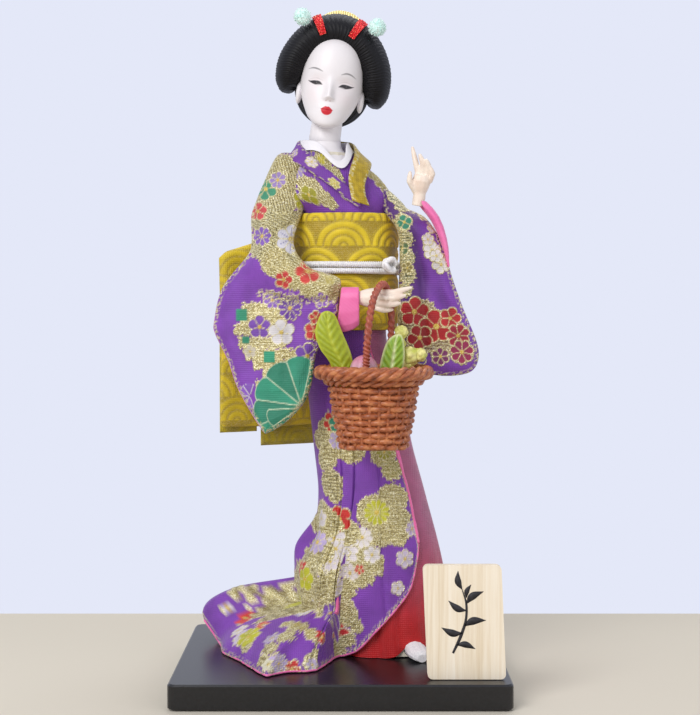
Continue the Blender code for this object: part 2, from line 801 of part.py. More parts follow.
def sash_ring(height, out, sides=36):
    return ring(SASH_CENTRE, SASH_HALF_WIDTH + out, SASH_HALF_DEPTH + out, height, sides)


def make_sash():
    bulge = ((SASH_BOTTOM, -0.6), (SASH_BOTTOM + 2, 0.0), (SASH_TOP - 2, 0.0), (SASH_TOP, -0.5))
    outer = [sash_ring(h, out) for h, out in bulge]
    inner = [sash_ring(h, -SASH_CLOTH) for h, _ in bulge]
    shell("obi_band", outer, inner, "yellow_sash")

    seat = GAP + CORD_HALF_DEPTH
    rings = []
    for turn in circle_turns(32):
        middle = np.array(
            (
                SASH_CENTRE[0] + (SASH_HALF_WIDTH + seat) * math.cos(turn),
                SASH_CENTRE[1] + (SASH_HALF_DEPTH + seat) * math.sin(turn),
                CORD_HEIGHT,
            )
        )
        out = np.array((math.cos(turn) / SASH_HALF_WIDTH, math.sin(turn) / SASH_HALF_DEPTH, 0.0))
        out /= np.linalg.norm(out)
        rings.append(
            [
                middle + out * CORD_HALF_DEPTH * math.cos(a) + (0, 0, CORD_HALF_HEIGHT * math.sin(a))
                for a in circle_turns(6)
            ]
        )
    hoop("obi_cord", rings, "white_cord")

    turn = math.radians(-50.0)
    seat_out = GAP * 2 + 2 * CORD_HALF_DEPTH + CORD_KNOT_RADII[1] + 0.5
    knot = (
        SASH_CENTRE[0] + (SASH_HALF_WIDTH + seat_out) * math.cos(turn),
        SASH_CENTRE[1] + (SASH_HALF_DEPTH + seat_out) * math.sin(turn),
        CORD_HEIGHT + 1.0,
    )
    ball("obi_cord_knot", knot, CORD_KNOT_RADII, "white_cord", 12, 7)


def bow_frame(point):
    """Turns a place on the bow, across, deep and up, into the doll's frame, square to the torso."""
    across, deep, up = point
    out = SASH_HALF_DEPTH + 2 * CORD_HALF_DEPTH + 3 * GAP
    middle = np.array((SASH_CENTRE[0] - 14.0, SASH_CENTRE[1] - 3.0))
    side = np.array((math.cos(TORSO_TURN), math.sin(TORSO_TURN)))
    back = np.array((-math.sin(TORSO_TURN), math.cos(TORSO_TURN)))
    flat = middle + side * across + back * (out + deep)
    return (flat[0], flat[1], up)


def make_bow():
    half = BOW_WIDTH / 2
    waist = (BOW_TOP + BOW_BOTTOM) / 2 - 8.0
    corners = [
        (-half, BOW_BOTTOM + 2),
        (-half * 0.97, waist),
        (-half, BOW_TOP - 12),
        (-half * 0.9, BOW_TOP - 9),
        (0.0, BOW_TOP + 0.5),
        (half * 0.9, BOW_TOP),
        (half, BOW_TOP - 8),
        (half * 0.97, waist),
        (half, BOW_BOTTOM + 2),
        (half * 0.94, BOW_BOTTOM),
        (0.0, BOW_BOTTOM - 0.5),
        (-half * 0.94, BOW_BOTTOM),
    ]
    deep = BOW_DEEP + BOW_THICKNESS / 2

    def bow_half(x, z, edge):
        swell = min(edge / 6.0, 1.0)
        puff = 0.55 + 0.45 * (z > waist + 10.0)
        return BOW_EDGE + (BOW_THICKNESS / 2 - BOW_EDGE) * math.sqrt(1 - (1 - swell) ** 2) * puff

    outline = round_outline(corners, 7.0)
    cloth_panel("obi_bow", outline, 7.0, lambda x, z: deep, bow_half, "yellow_sash", bow_frame)

    tail_deep = deep + BOW_THICKNESS / 2 + GAP + TAIL_THICKNESS / 2 + 0.2
    for name, left, right, low in (
        ("obi_tail_left", -32.0, -13.0, BOW_BOTTOM - 3.0),
        ("obi_tail_right", -11.0, 28.0, BOW_BOTTOM - 10.0),
    ):
        corners = [
            (left, low),
            (left + 1, waist - 10),
            (left + 3, TAIL_TOP - 2),
            (left + 4, TAIL_TOP),
            (right - 4, TAIL_TOP),
            (right - 3, TAIL_TOP - 2),
            (right - 1, waist - 10),
            (right, low + 3),
            (right - 1, low + 2),
            (left + 1, low - 1),
        ]
        cloth_panel(
            name,
            round_outline(corners, 7.0),
            8.0,
            lambda x, z: tail_deep,
            lambda x, z, edge: TAIL_THICKNESS / 2,
            "yellow_sash",
            bow_frame,
        )

    # The bow is tied over a small pad that sits against the sash and its cord
    pad_height = CORD_HEIGHT + 6.0
    pad = [
        [
            bow_frame((PAD_HALF_WIDTH * math.cos(turn), deep_at, pad_height + 7.0 * math.sin(turn)))
            for turn in circle_turns(14)
        ]
        for deep_at in (-5.0, BOW_DEEP - GAP)
    ]
    piece = loft("obi_bow_pad", pad, "stuffing")
    rings = [sash_ring(h, GAP + 0.2) for h in (SASH_BOTTOM - 8.0, SASH_TOP + 4.4)]
    combine(piece, loft("room_for_sash", rings, None), "DIFFERENCE")
    cord_room = [
        sash_ring(h, 2 * CORD_HALF_DEPTH + 2 * GAP, 40)
        for h in (CORD_HEIGHT - CORD_HALF_HEIGHT - GAP, CORD_HEIGHT + CORD_HALF_HEIGHT + GAP)
    ]
    combine(piece, loft("room_for_cord", cord_room, None), "DIFFERENCE")


RIGHT_SLEEVE_OUTLINE = (
    (-14.0, 235.5), (-22.0, 238.0), (-29.0, 237.0), (-35.5, 224.0), (-38.7, 216.0), (-40.6, 209.0),
    (-40.0, 198.0), (-41.5, 191.5), (-53.0, 177.0), (-57.0, 162.0), (-56.4, 156.0), (-50.7, 144.7),
    (-45.9, 131.6), (-35.5, 114.2), (-31.9, 112.8), (-22.7, 118.9), (-15.5, 127.5), (-12.5, 136.0),
    (-11.0, 147.0), (-6.0, 157.0), (-1.5, 165.0), (-0.8, 172.0), (0.0, 179.6), (-4.0, 182.5),
    (-14.0, 186.0), (-21.0, 197.0), (-16.5, 215.0),
)
LEFT_SLEEVE_OUTLINE = (
    (17.0, 224.5), (22.5, 221.0), (27.7, 215.8), (29.9, 212.8), (33.0, 211.5), (38.0, 208.5), (42.4, 202.3),
    (46.4, 192.9), (50.5, 179.5), (54.9, 167.4), (60.7, 153.1), (61.6, 145.1), (58.1, 139.3),
    (49.0, 137.4), (40.6, 138.0), (31.0, 139.0), (28.5, 146.0), (28.0, 165.0), (27.5, 190.0),
    (26.0, 203.0), (19.5, 212.0),
)
BAG_HALF = 4.2
ARM_HALF = 8.0


def right_sleeve_middle(x, z):
    bag = -23.5 - 0.31 * x
    return bag + (4.0 - bag) * smooth_step(z, 184.0, 222.0)


def left_sleeve_middle(x, z):
    bag = -5.0 - 0.05 * (x - 30.0)
    return bag + (8.0 - bag) * smooth_step(z, 200.0, 226.0)


def sleeve_half(x, z, edge):
    full = BAG_HALF + (ARM_HALF - BAG_HALF) * smooth_step(z, 186.0, 212.0)
    swell = min(edge / (full * 1.4), 1.0)
    return 0.7 + (full - 0.7) * math.sqrt(1 - (1 - swell) ** 2)


def make_sleeves():
    for name, corners, middle in (
        ("right_sleeve", RIGHT_SLEEVE_OUTLINE, right_sleeve_middle),
        ("left_sleeve", LEFT_SLEEVE_OUTLINE, left_sleeve_middle),
    ):
        outline = round_outline(corners, 5.5)
        sleeve = cloth_panel(name, outline, 5.5, middle, sleeve_half, "purple_brocade")
        combine(sleeve, bpy.data.objects["room_for_bodice"], "DIFFERENCE")
        combine(sleeve, bpy.data.objects["room_for_sash"], "DIFFERENCE")


# Hands: wrist, then each finger as a root, a bend and a tip, with its radius
RIGHT_WRIST = (1.2, -24.0, 172.4)
RIGHT_PALM_END = (17.5, -28.0, 172.2)
RIGHT_FINGERS = (
    ((15.0, -27.0, 174.4), (23.0, -29.0, 174.6), (30.8, -29.0, 176.8), 1.55),
    ((15.0, -28.4, 172.6), (22.5, -30.8, 172.0), (28.2, -30.0, 173.4), 1.6),
    ((14.5, -28.8, 170.4), (21.0, -30.6, 169.2), (26.0, -29.6, 170.0), 1.5),
    ((13.5, -28.0, 168.6), (18.5, -29.0, 166.9), (22.8, -28.2, 167.2), 1.35),
    ((12.2, -27.4, 173.8), (16.0, -30.6, 173.2), (20.0, -32.6, 171.6), 1.5),
)
LEFT_WRIST = (34.3, -8.6, 213.4)
LEFT_PALM_END = (36.0, -10.2, 227.0)
LEFT_FINGERS = (
    ((34.6, -10.2, 226.0), (33.0, -10.8, 233.0), (31.6, -10.0, 239.6), 1.4),
    ((36.2, -10.6, 226.5), (36.2, -12.6, 232.0), (34.6, -13.4, 236.0), 1.45),
    ((38.0, -10.4, 226.0), (38.8, -13.0, 230.4), (37.4, -14.2, 233.6), 1.4),
    ((39.4, -10.0, 224.0), (40.6, -12.8, 227.2), (39.4, -13.8, 230.2), 1.3),
    ((33.0, -10.0, 219.5), (30.2, -12.4, 224.0), (30.6, -13.2, 228.4), 1.4),
)


def make_hand(name, wrist, palm_end, fingers, wrist_radius):
    wrist = np.array(wrist)
    palm_end = np.array(palm_end)
    path = [wrist + (palm_end - wrist) * s for s in (0.0, 0.42, 0.6, 0.8, 1.0)]
    radii = [wrist_radius * r for r in (1.0, 0.97, 1.3, 1.5, 1.2)]
    hand = tube(name, path, radii, 12, "hand_enamel")
    for number, (root, bend, tip, radius) in enumerate(fingers):
        root, bend, tip = (np.array(p) for p in (root, bend, tip))
        points = [root, (root + bend) / 2, bend, (bend + tip) / 2, tip]
        radii = [radius * share for share in (1.0, 1.0, 0.95, 0.85, 0.45)]
        combine(hand, tube(f"{name}_finger_{number}", points, radii, 8), "UNION")


def make_hands():
    make_hand("right_hand", RIGHT_WRIST, RIGHT_PALM_END, RIGHT_FINGERS, WRIST_RADIUS)
    make_hand("left_hand", LEFT_WRIST, LEFT_PALM_END, LEFT_FINGERS, WRIST_RADIUS - 0.1)

    # The pink linings hang from the wrists like short open tubes
    wrist_room = WRIST_RADIUS + GAP + 0.1
    hem_reach = wrist_room + 1.25
    outer, inner = [], []
    for x, hang, lean in ((-0.3, 1.0, 0.105), (3.0, 0.97, 0.05), (5.5, 0.85, 0.0), (8.0, 0.62, 0.0)):
        row_out, row_in = [], []
        centre_y = RIGHT_WRIST[1] - 0.245 * (x - RIGHT_WRIST[0])
        for turn in circle_turns(14):
            across = math.cos(turn)
            up = math.sin(turn)
            down = (6.5 + 9.0 * hang) * up if up < 0 else hem_reach * up
            shift = lean * down
            row_out.append((x + shift, centre_y + hem_reach * across, RIGHT_WRIST[2] + down))
            shift = lean * wrist_room * up
            row_in.append((x + shift, centre_y + wrist_room * across, RIGHT_WRIST[2] + wrist_room * up))
        outer.append(row_out)
        inner.append(row_in)
    shell("right_sleeve_lining", outer, inner, "pink_lining")

    path = ((33.8, 213.6), (40.0, 206.6), (45.4, 194.0), (47.6, 186.0))
    keyed = [(i / 3, *p) for i, p in enumerate(path)]
    rings = []
    for share in np.linspace(0.0, 1.0, 10):
        x, z = rounded(keyed, share)
        run = rounded(keyed, share + 0.03) - rounded(keyed, share - 0.03)
        run /= np.linalg.norm(run)
        out = np.array((-run[1], run[0]))
        taper = 1.0 - 0.75 * smooth_step(share, 0.35, 1.0)
        centre = (x + out[0] * 2.2 * taper, z + out[1] * 2.2 * taper)
        rings.append(
            [
                (
                    centre[0] + out[0] * 2.1 * taper * math.cos(turn),
                    LEFT_WRIST[1] + 0.2 + 4.4 * taper * math.sin(turn),
                    centre[1] + out[1] * 2.1 * taper * math.cos(turn),
                )
                for turn in circle_turns(10)
            ]
        )
    lining = loft("left_sleeve_lining", rings, "pink_lining")
    x, y, z = LEFT_WRIST
    wrist_route = [(x, y, z - 13.4), (x + 0.3, y - 0.6, z + 5.6)]
    wrist = tube("room_for_left_wrist", wrist_route, [WRIST_RADIUS + GAP] * 2, 14)
    sleeve_room = cloth_panel(
        "room_for_left_sleeve",
        round_outline(LEFT_SLEEVE_OUTLINE, 5.0),
        5.0,
        left_sleeve_middle,
        lambda x, z, edge: sleeve_half(x, z, edge) + GAP,
        None,
    )
    combine(lining, wrist, "DIFFERENCE")
    combine(lining, sleeve_room, "DIFFERENCE")
    combine(bpy.data.objects["left_sleeve"], wrist, "DIFFERENCE")


EYE_SPREAD = 6.8
HEAD_SHOULDER = 18.0
LIP_HEIGHT = -11.8

# Head, in its own frame: height, half width, front and back of each section
HEAD_SECTIONS = (
    (-19.2, 2.0, -11.5, -7.0),
    (-18.0, 5.0, -12.9, -3.5),
    (-15.0, 8.2, -13.4, 2.0),
    (-12.0, 10.0, -13.4, 7.0),
    (-8.0, 11.9, -13.4, 10.0),
    (-4.0, 13.3, -13.2, 13.0),
    (0.0, 14.2, -13.3, 16.0),
    (5.0, 14.5, -14.1, 18.0),
    (10.0, 14.3, -14.3, 18.5),
    (15.0, 13.4, -13.6, 18.0),
    (19.0, 11.3, -11.5, 15.5),
    (22.0, 7.5, -7.5, 11.0),
    (23.6, 3.0, -2.5, 5.5),
)


def head_point(turn, height, swell):
    """A point of the head, before the tilt. The face looks along -Y."""
    half_x, front, back = rounded(HEAD_SECTIONS, height)
    middle = (front + back) / 2
    half_y = (back - front) / 2
    x = (half_x + swell) * math.cos(turn)
    y = middle + (half_y + swell) * math.sin(turn)
    if math.sin(turn) < 0:
        bridge = smooth_step(height, -8.2, -5.6) * (1 - smooth_step(height, -5.6, 4.5))
        nose = math.exp(-((x / 1.9) ** 2)) * bridge
        eyes = sum(
            math.exp(-(((x - side) / 3.6) ** 2) - ((height - 0.6) / 2.6) ** 2)
            for side in (-EYE_SPREAD, EYE_SPREAD)
        )
        lips = math.exp(-((x / 3.0) ** 2) - ((height - LIP_HEIGHT) / 1.9) ** 2)
        y += -2.9 * nose + 0.9 * eyes - 0.8 * lips
    return x, y, height


def place_on_head(point):
    x, y, z = point
    return (
        HEAD_CENTRE[0] + x * math.cos(HEAD_TILT) + z * math.sin(HEAD_TILT),
        HEAD_CENTRE[1] + y,
        HEAD_CENTRE[2] - x * math.sin(HEAD_TILT) + z * math.cos(HEAD_TILT),
    )


def head_rings(swell, sides, heights):
    rings = []
    for height in heights:
        lift = swell if height > HEAD_SHOULDER else 0.0
        ring_points = [head_point(turn, height, swell) for turn in circle_turns(sides) - math.pi / 2]
        rings.append([place_on_head((x, y, z + lift)) for x, y, z in ring_points])
    return rings


def ear(name, side, swell):
    x, y, z = EAR_PLACE
    radii = [radius + swell for radius in EAR_RADII]
    return ball(name, place_on_head((side * x, y, z)), radii, None, 12, 7, HEAD_TILT)


def make_head():
    heights = (-19.0, -17.8, -15.5, -13.4, -11.8, -10.4, -8.8, -7.4, -6.2, -4.6, -2.0, 0.6, 3.2, 7.0,
               12.0, 16.5, 20.0, 22.2, 23.4)
    head = loft("head", head_rings(0.0, 26, heights), "face_enamel")
    neck_low = TRUNK_TOP + GAP
    neck = tube(
        "neck",
        [(*NECK_CENTRE, neck_low), (*NECK_CENTRE, 246.0), (-6.6, 10.2, 252.0), (-5.8, 11.0, 262.0)],
        [NECK_RADIUS, NECK_RADIUS * 0.97, NECK_RADIUS * 0.95, NECK_RADIUS],
        18,
    )
    combine(head, neck, "UNION")
    for name, side in (("ear_right", -1), ("ear_left", 1)):
        combine(head, ear(name, side, 0.0), "UNION")
        ear(f"room_for_{name}", side, GAP + 0.05)
    loft("room_for_head", head_rings(GAP + 0.25, 22, heights), None)


# The hair is one thick roll over the forehead, drawn from wing to wing, with the knot and nape behind.
# Rows: place along the roll, x, y, z of its middle, half thickness outwards and half depth
HAIR_ROLL = (
    (0.00, -19.0, 8.0, -5.6, 2.0, 5.0),
    (0.05, -19.6, 7.4, -3.4, 5.0, 9.0),
    (0.16, -19.8, 6.4, 3.0, 7.0, 13.0),
    (0.28, -17.6, 5.0, 12.5, 7.8, 14.5),
    (0.40, -10.5, 3.6, 21.5, 8.4, 15.0),
    (0.50, 0.0, 3.2, 25.4, 8.6, 15.0),
    (0.60, 10.5, 3.6, 21.5, 8.4, 15.0),
    (0.72, 17.6, 5.0, 12.5, 7.8, 14.5),
    (0.84, 19.8, 6.4, 3.0, 7.0, 13.0),
    (0.95, 19.6, 7.4, -3.4, 5.0, 9.0),
    (1.00, 19.0, 8.0, -5.6, 2.0, 5.0),
)
HAIR_PARTING = (0.365, 0.635)


def hair_point(along, turn, offset):
    x, y, z, half_out, half_deep = rounded(HAIR_ROLL, along)
    step = 0.012
    ahead = rounded(HAIR_ROLL, along + step)[:3:2] - rounded(HAIR_ROLL, along - step)[:3:2]
    ahead /= np.linalg.norm(ahead)
    out = np.array((-ahead[1], ahead[0]))
    reach = (half_out + offset) * math.cos(turn)
    deep = (half_deep + offset) * math.sin(turn)
    return place_on_head((x + out[0] * reach, y + deep, z + out[1] * reach))


def make_hair():
    pieces = (
        ("hair_side_right", 0.0, HAIR_PARTING[0] - 0.004),
        ("hair_crown_front", HAIR_PARTING[0] + 0.004, HAIR_PARTING[1] - 0.004),
        ("hair_side_left", HAIR_PARTING[1] + 0.004, 1.0),
    )
    room_for_head = bpy.data.objects["room_for_head"]
    ear_rooms = {
        "hair_side_right": bpy.data.objects["room_for_ear_right"],
        "hair_side_left": bpy.data.objects["room_for_ear_left"],
    }
    turns = circle_turns(14)
    for name, first, last in pieces:
        rings = [[hair_point(a, t, 0.0) for t in turns] for a in np.linspace(first, last, 8)]
        lock = loft(name, rings, "black_hair")
        combine(lock, room_for_head, "DIFFERENCE")
        if name in ear_rooms:
            combine(lock, ear_rooms[name], "DIFFERENCE")
    rings = [[hair_point(a, t, GAP + 0.15) for t in turns] for a in np.linspace(0.0, 1.0, 25)]
    roll_room = loft("room_for_hair_roll", rings, None)

    nape_at = place_on_head(NAPE_PLACE)
    knot_at = place_on_head(KNOT_PLACE)
    knot_room_radii = [radius + GAP + 0.05 for radius in KNOT_RADII]
    nape = ball("hair_nape", nape_at, NAPE_RADII, "black_hair", 18, 9, HEAD_TILT)
    knot = ball("hair_topknot", knot_at, KNOT_RADII, "black_hair", 18, 9, HEAD_TILT)
    knot_room = ball("room_for_topknot", knot_at, knot_room_radii, None, 18, 9, HEAD_TILT)
    neck_route = [(*NECK_CENTRE, TRUNK_TOP - 8.0), (-6.0, 10.6, HEAD_CENTRE[2] - 6.0)]
    neck_room = tube("room_for_neck", neck_route, [NECK_RADIUS + 0.6] * 2, 18)
    for cutter in (room_for_head, roll_room, knot_room, neck_room, *ear_rooms.values()):
        combine(nape, cutter, "DIFFERENCE")
    combine(knot, roll_room, "DIFFERENCE")
    combine(knot, room_for_head, "DIFFERENCE")

    # The comb stands in the seam between the front roll and the topknot
    outline = [
        (COMB_HALF_WIDTH * math.cos(a), COMB_FOOT + COMB_RISE * math.sin(a))
        for a in np.linspace(0.0, math.pi, 15)
    ]
    foot = COMB_HALF_WIDTH * 0.86
    outline += [(-foot, COMB_FOOT - 1.0), (foot, COMB_FOOT - 1.0)]
    cloth_panel(
        "comb",
        outline,
        60.0,
        lambda x, z: COMB_DEEP,
        lambda x, z, edge: COMB_HALF_THICKNESS,
        "gold_comb",
        place_on_head,
    )
    comb_room = cloth_panel(
        "room_for_comb",
        [(x * 1.04, COMB_FOOT + (z - COMB_FOOT) * 1.06) for x, z in outline],
        60.0,
        lambda x, z: COMB_DEEP,
        lambda x, z, edge: COMB_HALF_THICKNESS + GAP,
        None,
        place_on_head,
    )
    combine(bpy.data.objects["hair_crown_front"], comb_room, "DIFFERENCE")
    combine(knot, comb_room, "DIFFERENCE")

    places = (-0.018, 0.0, 0.018)
    for name, along in (("hair_ribbon_right", 0.43), ("hair_ribbon_left", 0.56)):
        outer, inner = [], []
        for turn in np.linspace(-1.72, -0.5, 8):
            outer.append([hair_point(along + w, turn, GAP + RIBBON_THICKNESS) for w in places])
            inner.append([hair_point(along + w, turn, GAP) for w in places])
        shell(name, outer, inner, "red_ribbon", closed=False)

    for name, along in (("hair_pompom_right", 0.39), ("hair_pompom_left", 0.605)):
        centre = hair_point(along, -0.8, POMPOM_RADIUS + GAP)
        ball(name, centre, [POMPOM_RADIUS] * 3, "mint_tuft", 12, 7)


def basket_ring(radius, height, sides):
    return ring(BASKET_CENTRE, radius, radius * BASKET_DEPTH_SHARE, height, sides)


def basket_radius(share):
    return BASKET_FOOT_RADIUS + (BASKET_MOUTH_RADIUS - BASKET_FOOT_RADIUS) * share**0.85


def make_basket():
    # Each weave row passes over one stake and under the next, the next row the other way round
    sides = 28
    outer, inner = [], []
    steps = WEAVE_ROWS * 2
    for step in range(steps + 1):
        share = step / steps
        height = BASKET_BOTTOM + BASKET_HEIGHT * share
        row = basket_ring(basket_radius(share), height, sides)
        for place in range(sides):
            over = (place + step // 2) % 2
            lift = WEAVE_RELIEF * (1.0 if over else 0.3) if step % 2 else -WEAVE_RELIEF * 0.4
            row[place, :2] += (row[place, :2] - BASKET_CENTRE) * lift / basket_radius(share)
        outer.append(row)
    for share in (0.0, 0.33, 0.67, 1.0):
        height = BASKET_BOTTOM + BASKET_WALL + (BASKET_HEIGHT - BASKET_WALL) * share
        inner.append(basket_ring(basket_radius(share) - BASKET_WALL, height, sides))
    rings = np.asarray([*outer, *inner[::-1]])
    loft("basket_body", rings, "wicker")

    rim_low = BASKET_BOTTOM + BASKET_HEIGHT + GAP
    profile = (
        (BASKET_MOUTH_RADIUS - BASKET_WALL, rim_low),
        (BASKET_MOUTH_RADIUS + 0.6, rim_low),
        (BASKET_MOUTH_RADIUS + RIM_OUT - 0.4, rim_low + RIM_HEIGHT * 0.35),
        (BASKET_MOUTH_RADIUS + RIM_OUT + 1.3, rim_low + RIM_HEIGHT * 0.7),
        (BASKET_MOUTH_RADIUS + RIM_OUT + 0.4, rim_low + RIM_HEIGHT),
        (BASKET_MOUTH_RADIUS + RIM_OUT - 2 * RIM_HALF_WIDTH, rim_low + RIM_HEIGHT * 0.96),
        (BASKET_MOUTH_RADIUS - BASKET_WALL + 0.4, rim_low + RIM_HEIGHT * 0.4),
    )
    hoop("basket_rim", [basket_ring(r, h, 28) for r, h in profile], "wicker")

    # The cane handle springs from inside the rim, front and back, and passes over the hand
    x, y = BASKET_CENTRE
    low = BASKET_BOTTOM + BASKET_HEIGHT - HANDLE_DEPTH_IN_BASKET
    wall = basket_radius(1 - HANDLE_DEPTH_IN_BASKET / BASKET_HEIGHT) - BASKET_WALL
    reach = wall * BASKET_DEPTH_SHARE - HANDLE_RADIUS - GAP - 0.45
    bend = HANDLE_TOP - 7.5
    route = (
        (0.0, x - 3.0, y - reach, low),
        (0.25, x - 3.2, y - reach + 0.4, (low + bend) / 2),
        (0.4, x - 0.6, y - 9.5, bend),
        (0.5, x + 4.0, y + 2.0, HANDLE_TOP),
        (0.6, x + 7.6, y + 12.5, bend),
        (0.75, x + 7.4, y + reach - 0.8, (low + bend) / 2),
        (1.0, x + 3.4, y + reach, low),
    )
    path = [rounded(route, s) for s in np.linspace(0.0, 1.0, 25)]
    tube("basket_handle", path, [HANDLE_RADIUS] * len(path), 8, "red_cane")


# Outlines of the leaves, and the knobs of the cluster with their radius, from the basket's brim
TALL_LEAF = (
    (-15.9, -8.5), (-17.4, -0.5), (-18.6, 9.0), (-23.2, 16.0), (-25.2, 23.5), (-22.2, 31.5),
    (-17.2, 31.0), (-13.7, 23.5), (-9.2, 11.5), (-9.4, 0.5), (-11.0, -8.5),
)
SIDE_LEAF = ((2.6, -6.5), (2.4, 7.5), (6.0, 19.5), (12.0, 21.5), (13.0, 9.5), (8.0, -6.5))
KNOBS = ((10.5, 18.0, 3.4), (12.0, 23.0, 2.9), (15.5, 12.5, 4.2), (20.0, 13.1, 3.0))


def make_produce():
    x, y = BASKET_CENTRE
    brim = BASKET_BOTTOM + BASKET_HEIGHT

    def leaf_half(across, up, edge):
        return LEAF_EDGE + LEAF_SWELL * min(edge / 5.5, 1.0)

    tall = [(x + across, brim + up) for across, up in TALL_LEAF]
    cloth_panel(
        "leaf_tall", round_outline(tall, 5.0), 6.0, lambda across, up: y + 1.3, leaf_half, "leaf_green"
    )
    side = [(x + across, brim + up) for across, up in SIDE_LEAF]
    cloth_panel(
        "leaf_side", round_outline(side, 5.0), 6.0, lambda across, up: y - 2.2, leaf_half, "leaf_green"
    )
    ball("radish", (x - 4.2, y - 3.5, brim + 7.0), RADISH_RADII, "radish_white", 16, 9)
    deep = y + 2.6
    bunch = ball("vegetable_cluster", (x + 10.5, deep, brim + 9.5), CLUSTER_RADII, "pale_yellow", 12, 7)
    for number, (across, up, r) in enumerate(KNOBS):
        knob = ball(f"knob_{number}", (x + across, deep, brim + up), (r, r, r), None, 10, 6)
        combine(bunch, knob, "UNION")


def main():
    clear_scene()
    make_stand()
    make_trunk()
    make_under_skirt()
    make_robe_skirt()
    make_bodice()
    make_collars()
    make_sash()
    make_bow()
    make_sleeves()
    make_hands()
    make_head()
    make_hair()
    make_basket()
    make_produce()


main()
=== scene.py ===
# %% [markdown]
# # A geisha doll on a lacquered base
# A display doll, about 30 cm tall: a wired and padded figure in layers of brocade, with a moulded head and
# hands, a woven basket of produce and a wooden tablet at its feet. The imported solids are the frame. This
# lesson dresses them: each step says what a piece is on the real doll, how it could be made in Blender, and
# why it is made this way. All the shapes are worked out in millimetres and become metres in one place.

# %% Load the frame
import json
import math

import bmesh
import bpy
import numpy as np
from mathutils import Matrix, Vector

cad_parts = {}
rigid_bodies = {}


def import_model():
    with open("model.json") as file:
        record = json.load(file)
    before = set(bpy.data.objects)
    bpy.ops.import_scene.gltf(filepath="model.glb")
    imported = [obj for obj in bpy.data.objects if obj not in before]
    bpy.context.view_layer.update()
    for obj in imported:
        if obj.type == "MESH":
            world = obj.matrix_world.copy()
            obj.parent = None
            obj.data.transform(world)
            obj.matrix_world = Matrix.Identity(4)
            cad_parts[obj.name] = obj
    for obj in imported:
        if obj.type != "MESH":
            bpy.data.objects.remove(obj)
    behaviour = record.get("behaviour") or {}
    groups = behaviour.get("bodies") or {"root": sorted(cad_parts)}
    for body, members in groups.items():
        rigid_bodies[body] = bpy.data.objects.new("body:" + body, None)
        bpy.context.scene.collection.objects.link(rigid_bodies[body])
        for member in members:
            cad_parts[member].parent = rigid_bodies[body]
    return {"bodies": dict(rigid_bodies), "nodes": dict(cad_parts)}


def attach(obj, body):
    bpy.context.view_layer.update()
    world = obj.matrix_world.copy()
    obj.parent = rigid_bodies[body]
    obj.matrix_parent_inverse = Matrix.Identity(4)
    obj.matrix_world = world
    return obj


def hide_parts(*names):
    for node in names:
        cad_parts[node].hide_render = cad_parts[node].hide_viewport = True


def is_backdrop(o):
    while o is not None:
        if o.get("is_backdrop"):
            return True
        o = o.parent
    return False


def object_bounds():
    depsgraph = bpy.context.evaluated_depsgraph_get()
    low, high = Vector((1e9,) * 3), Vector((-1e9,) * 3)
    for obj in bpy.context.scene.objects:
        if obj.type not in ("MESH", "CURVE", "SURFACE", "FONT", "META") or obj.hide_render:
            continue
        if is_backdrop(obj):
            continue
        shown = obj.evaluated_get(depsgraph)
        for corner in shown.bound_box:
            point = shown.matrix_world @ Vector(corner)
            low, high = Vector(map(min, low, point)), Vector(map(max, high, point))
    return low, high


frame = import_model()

MM = 0.001
BODY = list(frame["bodies"])[0]
bpy.context.view_layer.update()
rng = np.random.default_rng(7)

# %% [markdown]
# ## Helpers for shapes
# Cloth, hair and reeds are all surfaces over a grid of points: rows one way, columns the other. A grid keeps
# its own flat coordinates, which is where a pattern is laid out, so numpy arrays hold the points and one
# function turns them into an object that rides on the doll and stands for its plain solids.

# %% Grids and pieces
def grid_faces(rows, columns, closed=False, first=0):
    last = columns if closed else columns - 1
    r, c = np.meshgrid(np.arange(rows - 1), np.arange(last), indexing="ij")
    a = first + r * columns + c
    b = first + r * columns + (c + 1) % columns
    d = first + (r + 1) * columns + c
    e = first + (r + 1) * columns + (c + 1) % columns
    return np.stack([a, b, e, d], axis=-1).reshape(-1, 4)


def capped(rows, columns):
    """The faces of a tube over a grid, closed at both ends."""
    ends = [list(range(columns)), [(rows - 1) * columns + c for c in reversed(range(columns))]]
    return grid_faces(rows, columns, closed=True).tolist() + ends


def piece(name, points, faces, look, stands_for=(), dye=None, gilt=None, smooth=True, outward=True):
    """An object from points in millimetres, riding on the doll."""
    points = np.asarray(points, float).reshape(-1, 3)
    mesh = bpy.data.meshes.new(name)
    faces = [tuple(f) for f in (faces.tolist() if isinstance(faces, np.ndarray) else faces)]
    mesh.from_pydata((points * MM).tolist(), [], faces)
    if outward:
        shape = bmesh.new()
        shape.from_mesh(mesh)
        bmesh.ops.recalc_face_normals(shape, faces=shape.faces)
        shape.to_mesh(mesh)
        shape.free()
    if dye is not None:
        layer = mesh.attributes.new("dye", "FLOAT_COLOR", "POINT")
        full = np.ones((len(points), 4), np.float32)
        full[:, :3] = np.asarray(dye).reshape(-1, 3)
        layer.data.foreach_set("color", full.ravel())
    if gilt is not None:
        layer = mesh.attributes.new("gilt", "FLOAT", "POINT")
        layer.data.foreach_set("value", np.asarray(gilt, np.float32).ravel())
    if smooth:
        mesh.shade_smooth()
    mesh.materials.append(look)
    made = bpy.data.objects.new(name, mesh)
    bpy.context.scene.collection.objects.link(made)
    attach(made, BODY)
    if stands_for:
        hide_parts(*stands_for)
    return made


print("grids and pieces: ready")

